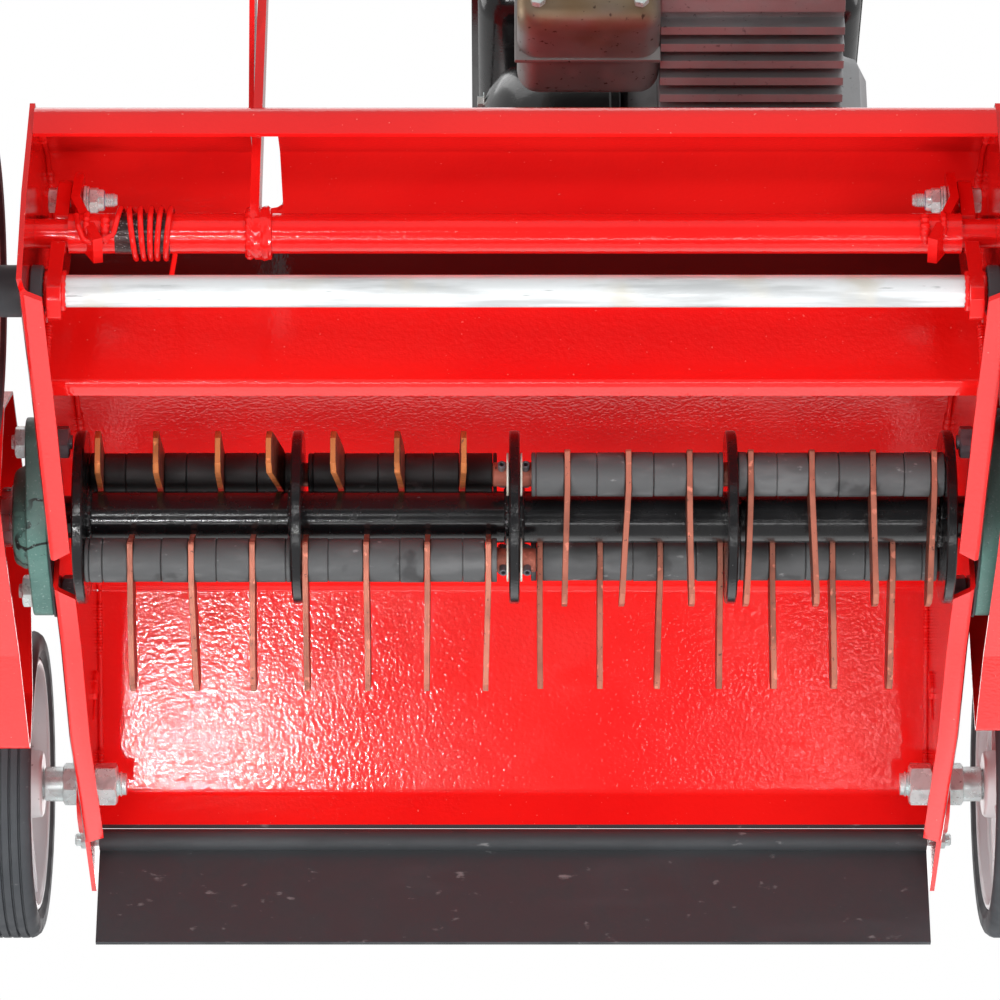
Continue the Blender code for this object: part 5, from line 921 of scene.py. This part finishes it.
def housing():
    dress("deck", DECK_RED, 1.1)
    for name in ("side_plate_left", "side_plate_right", "side_guard", "belt_guard"):
        dress(name, RED, 0.9)
    for side in (-1, 1):
        def on(ahead, above, x=SEAM_X):
            return spot(side * x, ahead, above)

        weld([on(-275.5, 113), on(-298, 84)], 1.7)
        weld([on(-333, 39), on(-350, 18)], 2.0)
        sweep([on(-272.6, 118.8), on(-352.5, 15.2)], 1.6, 12)
        sweep([on(-271, 119.6), on(193, 119.6), on(261.2, 96.9)], 1.5, 12)
        weld([on(256, 97.5), on(215, 111)], 2.2)
        for start in (178, 100, 20, -70, -160, -240):
            weld([on(start, 119.8), on(start - 26, 119.8)], 2.3)
        for low, high in ((12, 46), (84, 112)):
            weld([on(131.8, low, 263.8), on(131.8, high, 263.8)], 2.1)
        for wide, tall in ((4.6, 9.2), (4.6 - 2.4, 9.2 - 4.4)):
            turns = [tau * k / 40 for k in range(40)]
            weld([on(-279 + wide * cos(turn) - 1.5 * sin(turn), 52.8 + tall * sin(turn), 264.5)
                      for turn in turns], 1.9, 2.0, True)
        weld([on(-287, 49, 264.6), on(-285, 40, 264.6), on(-284, 30, 264.7)], 0.8)
    for ahead in (117, 160):
        weld([spot(-151.5, ahead, DECK_TOP), spot(-151.5, ahead + 22, DECK_TOP)], 1.9)
    for side in (-1, 1):
        for edge in (230.4, 235.2):
            weld([spot(side * edge, -206, DECK_TOP), spot(side * edge, -262, DECK_TOP)], 1.9)
    piece("housing_welds", RED)
    flap()
    covers()


def flap():
    """The rubber flap: a roll round its rod and the sheet that hangs from it, with the rod and its nuts."""
    y, z = FLAP_AT
    outline = []
    for k in range(45):
        turn = radians(300) * k / 44
        outline.append((y + FLAP_RADIUS * MM * cos(turn), z + FLAP_RADIUS * MM * sin(turn)))
    outline += [(y + FLAP_THICK * MM, z - (6.4 + 8.3 * step) * MM) for step in range(8)]
    outline += [(y + FLAP_THICK * MM, 7.2 * MM), (y + 2 * FLAP_THICK * MM, 7.2 * MM)]
    plate([Vector((-FLAP_HALF * MM, *p)) for p in outline], mm(2 * FLAP_HALF))
    piece("flap_sheet", RUBBER, "flap", "rubber_flap", bevel=0.5)
    block(spot(-262.6, -353.4, -9.3), spot(262.6, -352.2, 3), 0.4, 2)
    piece("flap_seal", RUBBER)
    middle = Vector((0, y, z))
    rod(middle - mm(278.5), middle + mm(278.5), 3.95)
    for side in (-1, 1):
        end = middle + mm(side * 268.5)
        headed(end, RIGHT * side, (8.5, 4.1, 1.2), 1.2, 6.8, M6)
        thread(end + mm(side * 6), end + mm(side * 10.4), 4.0, 1.0)
    piece("flap_rod_set", ZINC, "chassis", "flap_rod")


def covers():
    """Screws and washers that hold the two guards, and the belt guard's ribs."""
    for side, places in ((-1, ((-60, 44), (20, 44), (-120, -30), (40, -30))),
                         (1, ((-112, 30), (56, 30), (-60, 270), (0, 270), (-100, 150)))):
        for place in places:
            headed(spot(side * 337.0, *place), RIGHT * side, (7.5, 3.2, 1.1), 1.0, 4.5, M6)
    piece("guard_screws", ZINC)
    for k in range(-3, 4):
        middle = Vector((337.6 * MM, at(-27 - 12 * k, 0)[0], ROTOR_Z + 0.2225))
        block(middle + mm(-1, -4, -32.5), middle + mm(1, 0.5, 32.5), 0.8, 2)
    piece("guard_ribs", RED)


# Engine and drive

CRANK_PLACE = (-30, 232)
CYLINDER_TILT = radians(25)


def engine():
    for name, material in (("engine_block", ALUMINIUM), ("drive_belt", BELT), ("rotor_pulley", ALUMINIUM),
                           ("engine_pulley", ALUMINIUM), ("idler_arm", ZINC), ("idler_pulley", PLASTIC)):
        dress(name, material, 0.5)
    shroud()
    tank()
    cleaner()
    muffler()
    out = facing(CYLINDER_TILT)
    over = facing(CYLINDER_TILT + pi / 2)
    head = spot(0, *CRANK_PLACE) + out * 0.214
    for x in (98, 176):
        for rise in (-24, 24):
            headed(head + mm(x) + over * rise * MM - out * 0.2 * MM, out, (7, 3.2, 1.2), 1.2, 6.0, M6)
    for ahead in (84, -84):
        for x in (82, 198):
            foot = spot(x, CRANK_PLACE[0] + ahead * 0.96, 144.6)
            headed(foot, UPRIGHT, (8, 4.2, 1.4), 1.3, 6.8, M8)
    piece("engine_bolts", ZINC)
    lathe([(0, 0), (9, 0), (9, 3), (7, 4), (7, 8), (5.5, 9), (5.5, 13), (4, 16), (0, 16)],
          head + mm(137), out, 32)
    lathe([(0, 0), (13, 0), (14, 1), (14, 9), (12.6, 11), (0, 11)], spot(150, 62, 152),
          Vector((0, -1, 0.5)), 40, shape=ribbed(14, 0.7, 12))
    piece("plug_and_filler", PLASTIC)
    headed(spot(319.2, *CRANK_PLACE), RIGHT, (14, 4.2, 2.4), 2.2, 4.6, M8)
    piece("pulley_bolt", ZINC, "crankshaft")


def shroud():
    """The fan shroud with its recoil starter cover, slots, screws and grip."""
    centre = spot(64, *CRANK_PLACE)
    lathe([(0, 0.4), (103.2, 0.4), (104, 1.2), (104, 6), (102.4, 7.2), (102.4, 40), (101, 47), (97.6, 62),
           (92, 71), (82, 79), (72, 83.4), (68, 84.4), (66.6, 86.4), (65.8, 89.4), (63.6, 91.0),
           (56, 91.6), (54, 90.4), (24, 90.4), (22, 91.4), (0, 91.4)], centre, -RIGHT, 96)
    piece("shroud_shell", BLACK, "chassis", "fan_shroud")
    for way, over in spokes(24):
        start = centre + mm(-89.6) + way * 27 * MM
        end = centre + mm(-89.6) + way * 51 * MM
        plate([start - over * 1.5 * MM, start + over * 1.5 * MM, end + over * 3.2 * MM,
                   end - over * 3.2 * MM], mm(-1.6))
    for way, _ in spokes(6, 0.5):
        foot = centre + way * 98.5 * MM
        block(foot + mm(-30, -6, -6), foot + mm(-4, 6, 6), 2.5)
    piece("shroud_grille", PLASTIC, bevel=0.4)
    for way, _ in spokes(4, 0.5):
        headed(centre + way * 74.5 * MM + mm(-81.5), -RIGHT, (6.5, 2.6, 1.0), 0.8, 4.6, M5)
    piece("shroud_screws", ZINC)
    low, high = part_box("recoil_handle")
    pull = radians(42)
    out = Vector((0, cos(pull), sin(pull)))
    axis = centre + out * 0.113
    axis.x = (low.x + high.x) / 2
    half = [(6.4, 6), (7.0, 12), (7.4, 21), (6.6, 24.4), (4.2, 26), (0, 26)]
    lathe([(radius, -reach) for radius, reach in half[::-1]] + [(7.2, 0)] + half, axis, RIGHT, 40)
    rod(axis, axis - out * 0.0082, 4.6, 0.4, 28)
    piece("recoil_grip_skin", GRIP, "recoil_grip", "recoil_handle")


def tank():
    low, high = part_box("fuel_tank")
    block(low, high, 19, 7)
    piece("tank_shell", BLACK, "chassis", "fuel_tank")
    seam = (low.z + high.z) / 2 - 0.006
    block(Vector((low.x, low.y, seam)) + mm(-4, -4, -1.6),
          Vector((high.x, high.y, seam)) + mm(2, 4, 1.6), 0.8, 2)
    piece("tank_seam", BLACK)
    cap_low, cap_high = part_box("fuel_cap")
    centre = (cap_low + cap_high) / 2
    centre.z = cap_low.z
    lathe([(0, 0), (22.4, 0), (23.6, 1.0), (24, 2.4), (24, 10.6), (23, 13), (20, 14.4), (12, 14.6),
           (10, 13.8), (0, 13.8)], centre, UPRIGHT, 96, shape=ribbed(12, 0.9, 21, 13))
    piece("fuel_cap_skin", PLASTIC, "tank_cap", "fuel_cap")
    centre.z = high.z - 0.0012
    lathe([(30, 0), (30, 1.2), (28.4, 1.45), (19, 1.45), (19, 0)], centre, UPRIGHT, 56, True)
    piece("tank_neck", BLACK)


def cleaner():
    low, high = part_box("air_cleaner")
    block(low, high, 11, 6)
    block(low + mm(-2, 24, -2), Vector((high.x, low.y, high.z)) + mm(2, 29, 2), 2.0)
    for k in range(5):
        rise = 22 + 14.5 * k
        block(Vector((low.x, high.y, low.z)) + mm(18, -1, rise),
              Vector((high.x, high.y, low.z)) + mm(-18, 1.8, rise + 6), 0.9, 2)
    piece("cleaner_cover", PLASTIC, "chassis", "air_cleaner")
    top = Vector(((low.x + high.x) / 2, (low.y + 0.03 + high.y) / 2, high.z))
    lathe([(0, 0), (12, 0), (13, 1), (13, 6), (11, 8), (0, 8)], top, UPRIGHT,
          shape=ribbed(9, 0.8, 11.5))
    piece("cleaner_knob", GRIP)


def muffler():
    low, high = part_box("muffler")
    front = low.y + 0.018
    low.y = front
    middle = (low + high) / 2
    block(low, high, 13, 6)
    block(Vector((low.x, middle.y, low.z)) + mm(-1.5, -1.6, -1.5),
          Vector((high.x, middle.y, high.z)) + mm(0.2, 1.6, 1.5), 0.8, 2)
    for k in range(6):
        rise = 44 + 9.5 * k
        block(low + mm(14, -2.2, rise), Vector((high.x, front, low.z)) + mm(-14, 1, rise + 4), 1.2)
    mouth = Vector((middle.x - 0.018, front, low.z + 0.034))
    lathe([(8.9, -2), (8.9, 17.4), (8.2, 17.9), (7.4, 17.4), (7.4, 4), (7.4, -2)], mouth,
          Vector((0, -1, 0)), 40, True)
    piece("muffler_shell", MUFFLER, "chassis", "muffler")
    for x in (low.x + 0.012, high.x - 0.012):
        for z in (low.z + 0.012, high.z - 0.012):
            start = Vector((x, front + 0.0005, z))
            hexagon(start, start + mm(0, -4.2), M5)
    piece("muffler_screws", ZINC)


# Handlebar

FOOT = (236, 158)
LOWER = radians(50)
UPPER = radians(38)
LOWER_LENGTH = 420
UPPER_LENGTH = 500
FOLD = (FOOT[0] + LOWER_LENGTH * cos(LOWER), FOOT[1] + LOWER_LENGTH * sin(LOWER))
GRIP_PLACE = (FOLD[0] + UPPER_LENGTH * cos(UPPER), FOLD[1] + UPPER_LENGTH * sin(UPPER))
GRIP_RUN = 130
TUBE_RADIUS = 12.5
OUTER_X = 218
INNER_X = 192


def on_bar(x, base, slope, reach):
    return spot(x, -base[0] - reach * cos(slope), base[1] + reach * sin(slope))


def plug(end, way):
    lathe([(0, -1), (11.6, -1), (12.3, 0), (12.3, 1.4), (10.4, 2.6), (0, 3.0)], end, way, 32)


def cross_tube(centre, half, bead):
    """A tube across the handlebar and the beads at its ends."""
    rod(centre - mm(half), centre + mm(half), 9, 0.4)
    for side in (-1, 1):
        weld_round(centre + mm(side * bead), 9.4, 1.6, 2.0, 40)


def handlebar():
    for x in (-OUTER_X, OUTER_X):
        rod(on_bar(x, FOOT, LOWER, -22), on_bar(x, FOOT, LOWER, 442), TUBE_RADIUS, 0.6)
    cross_tube(on_bar(0, FOOT, LOWER, LOWER_LENGTH * 0.62), 212.5, 205.8)
    piece("lower_bar", BLACK, "chassis", "lower_handlebar")
    for x in (-OUTER_X, OUTER_X):
        plug(on_bar(x, FOOT, LOWER, 441.6), on_bar(0, FOOT, LOWER, 1) - on_bar(0, FOOT, LOWER, 0))
    piece("lower_bar_plugs", PLASTIC)
    for side in (-1, 1):
        out = RIGHT * side
        for reach in (-8, 26):
            place = on_bar(side * OUTER_X, FOOT, LOWER, reach)
            headed(place + out * 16.9 * MM, out, (8, 4.1, 1.4), 1.3, 5.5, M8)
            headed(place - out * 12.4 * MM, -out, (8, 4.1, 1.4), 1.2, 6.8, M8)
            thread(place - out * 19.0 * MM, place - out * 20.6 * MM, 4, 1.25)
    piece("lower_bar_bolts", ZINC)

    for name, side in SIDES:
        out = RIGHT * side
        on = line(side, (-FOLD[0], FOLD[1]))
        lathe([(0, 0), (9.4, 0), (10, 0.8), (13.4, 4.0), (17.2, 5.6), (18.2, 7.4), (18.2, 14.4), (17, 16.4),
               (12, 19.2), (0, 19.8)], on(230.9), out, 84, shape=ribbed(7, 0.9, 13))
        piece("fold_knob_skin_" + name, PLASTIC, "chassis", "fold_knob_" + name)
        rod(on(179.1), on(232), 3.9)
        hexagon(on(179.1), on(173.7), M8)
        piece("fold_bolt_" + name, ZINC)

    for x in (-INNER_X, INNER_X):
        path = bend([on_bar(x, FOLD, UPPER, -22), spot(x, -GRIP_PLACE[0], GRIP_PLACE[1]),
                     spot(x, -GRIP_PLACE[0] - GRIP_RUN, GRIP_PLACE[1])], 70, 14)
        sweep(path, TUBE_RADIUS, 40)
    cross_tube(on_bar(0, FOLD, UPPER, UPPER_LENGTH * 0.72), 187, 179.8)
    piece("upper_bar_tubes", BLACK, "upper_bar", "upper_handlebar")
    for x in (-INNER_X, INNER_X):
        plug(on_bar(x, FOLD, UPPER, -21.6), on_bar(0, FOLD, UPPER, -1) - on_bar(0, FOLD, UPPER, 0))
    piece("upper_bar_plugs", PLASTIC, "upper_bar")

    for name, side in SIDES:
        low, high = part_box("handle_grip_" + name)
        centre = (low + high) / 2
        centre.y = low.y
        length = (high.y - low.y) / MM
        profile = [(13.2, 0.4), (19.2, 0.4), (20, 1.2), (20, 4.4), (19, 5.4), (17, 6.2)]
        for k in range(15):
            reach = 9 + k * 5.6
            profile += [(17, reach), (17, reach + 3.2), (15.9, reach + 3.8), (15.9, reach + 5.0)]
        profile += [(17, length - 6), (15.4, length - 1.6), (12, length - 0.4), (0, length - 0.2)]
        lathe(profile, centre, Vector((0, 1, 0)))
        piece("grip_skin_" + name, GRIP, "upper_bar", "handle_grip_" + name)
    bail()
    throttle()


def bail():
    hinge = (FOLD[0] + UPPER_LENGTH * 0.86 * cos(UPPER), FOLD[1] + UPPER_LENGTH * 0.86 * sin(UPPER))
    reach = GRIP_PLACE[0] + GRIP_RUN - hinge[0]
    rise = GRIP_PLACE[1] - hinge[1]
    turn = atan2(rise, reach) + radians(24)
    length = hypot(reach, rise)
    tip = (-hinge[0] - length * cos(turn), hinge[1] + length * sin(turn))
    foot = (-hinge[0], hinge[1])
    inner = INNER_X - 12.8
    wide = INNER_X - 25.5
    corners = [spot(x, *place) for x, place in ((-inner, foot), (-wide, foot), (-wide, tip), (wide, tip),
                                                (wide, foot), (inner, foot))]
    sweep(bend(corners, 18, 8, 0.45), 3.45, 24)
    for side in (-1, 1):
        ring(spot(side * (inner - 1.6), *foot), RIGHT * side, 6.6, 3.8, 1.6)
    piece("bail_wire", ZINC, "bail", "clutch_bail")


def throttle():
    place = on_bar(INNER_X + 12.8, FOLD, UPPER, UPPER_LENGTH * 0.8)
    up = Vector((0, 0.25, 1)).normalized()
    foot = place + mm(10.5)
    lathe([(0, 0.2), (14.2, 0.2), (15, 1.0), (15, 10.4), (14, 11.8), (6, 11.8), (5, 12), (0, 12)], place)
    rod(foot + up * 6 * MM, foot + up * 46 * MM, 3.3, 0.3, 24)
    lathe([(0, 44), (5.4, 44.6), (7.3, 47.4), (7.4, 55), (6.2, 58.6), (3.4, 59.8), (0, 60)], foot, up, 32)
    piece("throttle_skin", PLASTIC, "throttle", "throttle_lever")
    hexagon(place + mm(11.9), place + mm(12.5), M5)
    piece("throttle_screw", ZINC, "throttle")


rotor()
for each_name, each_side in SIDES:
    bearing(each_name, each_side)
depth_gear()
wheels()
housing()
engine()
handlebar()


# Floor, world and lamps

def floor():
    """A pale floor that is clear from below, where the photograph looks up through it."""
    bmesh.ops.create_grid(bm, x_segments=1, y_segments=1, size=9)
    mesh = bpy.data.meshes.new("floor")
    bm.to_mesh(mesh)
    bm.clear()
    made = put("floor", mesh)
    paint = bpy.data.materials.new("floor_white")
    paint.use_nodes = True
    tree = paint.node_tree
    shader = tree.nodes["Principled BSDF"]
    shader.inputs["Base Color"].default_value = (0.92, 0.92, 0.92, 1)
    shader.inputs["Roughness"].default_value = 0.7
    clear = node(tree, "ShaderNodeBsdfTransparent")[0]
    below = node(tree, "ShaderNodeNewGeometry")["Backfacing"]
    mixed = node(tree, "ShaderNodeMixShader", {0: below, 1: shader.outputs[0], 2: clear})[0]
    tree.links.new(mixed, tree.nodes["Material Output"].inputs["Surface"])
    mesh.materials.append(paint)
    made.visible_shadow = False
    made.visible_diffuse = False
    made.visible_glossy = False
    made.visible_transmission = False


def sky():
    """White for the camera, a soft even light, and for gloss a darker studio with one bright sheet."""
    world = bpy.data.worlds.new("studio")
    bpy.context.scene.world = world
    world.use_nodes = True
    tree = world.node_tree
    tree.nodes.clear()
    place = node(tree, "ShaderNodeTexCoord")["Generated"]

    def towards(way):
        return node(tree, "ShaderNodeVectorMath", {0: place, 1: way}, operation="DOT_PRODUCT")["Value"]

    dark = smooth_step(tree, towards(VIEW), 0.72, 0.93, 0.45, 0.10)
    paper = smooth_step(tree, towards(Vector((0, 0.84, -0.543))), 0.915, 0.975, 0.0, 0.7)
    studio = node(tree, "ShaderNodeMath", {0: dark, 1: paper}, operation="ADD")[0]
    path = node(tree, "ShaderNodeLightPath")
    bounced = node(tree, "ShaderNodeMix", {0: path["Is Glossy Ray"], 2: 0.46, 3: studio})[0]
    seen = node(tree, "ShaderNodeMix", {0: path["Is Camera Ray"], 2: bounced, 3: 1.0})[0]
    light = node(tree, "ShaderNodeBackground", {"Color": (1, 1, 1, 1), "Strength": seen})[0]
    node(tree, "ShaderNodeOutputWorld", {"Surface": light})


def lamp(name, place, aim, width, height, watts, gloss=True):
    data = bpy.data.lights.new(name, "AREA")
    data.shape = "RECTANGLE"
    data.size = width
    data.size_y = height
    data.energy = watts
    made = put(name, data)
    made.location = place
    made.rotation_euler = (Vector(aim) - Vector(place)).to_track_quat("-Z", "Y").to_euler()
    made.visible_glossy = gloss


floor()
sky()
ROTOR_AIM = (0, ROTOR_Y, 0.1)
GLARE_AIM = (0, -0.05, 0.15)
# Lamps about the camera, by their steps to the right, up and back from it
for name, right, up, back, aim, width, height, watts, gloss in (
        ("glare_left", -0.40, -0.90, 0, GLARE_AIM, 0.12, 0.10, 5.6, True),
        ("glare_right", 0.44, -0.90, 0, GLARE_AIM, 0.05, 0.22, 0.5, True),
        ("key", -0.55, 0.47, 0, ROTOR_AIM, 0.66, 0.13, 6, True),
        ("low", 0, -1.62, -0.30, ROTOR_AIM, 2.4, 0.22, 8, True),
        ("low_left", -1.5, -1.50, -0.30, ROTOR_AIM, 0.9, 0.9, 36, False),
        ("low_right", 1.5, -1.50, -0.30, ROTOR_AIM, 0.9, 0.9, 40, False),
        ("fill_left", -1.7, 0.80, 0, ROTOR_AIM, 0.8, 0.8, 17, False),
        ("fill_right", 1.7, 0.80, 0, ROTOR_AIM, 0.8, 0.8, 25, False)):
    lamp(name, EYE + RIGHT * right + UP * up + VIEW * back, aim, width, height, watts, gloss)
lamp("under", (0, ROTOR_Y + 0.4, -2.3), ROTOR_AIM, 1.4, 1.0, 24, False)
lamp("top", (0, 0.1, 2.9), (0, 0, 0.3), 2.6, 2.6, 22)
lamp("side_left", (-3.0, 0.4, 1.4), (0, 0, 0.3), 1.6, 1.6, 16)
lamp("side_right", (3.0, 0.0, 1.6), (0, 0, 0.3), 1.6, 1.6, 13)
lamp("back", (0.4, 3.2, 1.6), (0, 0, 0.4), 1.8, 1.4, 14)
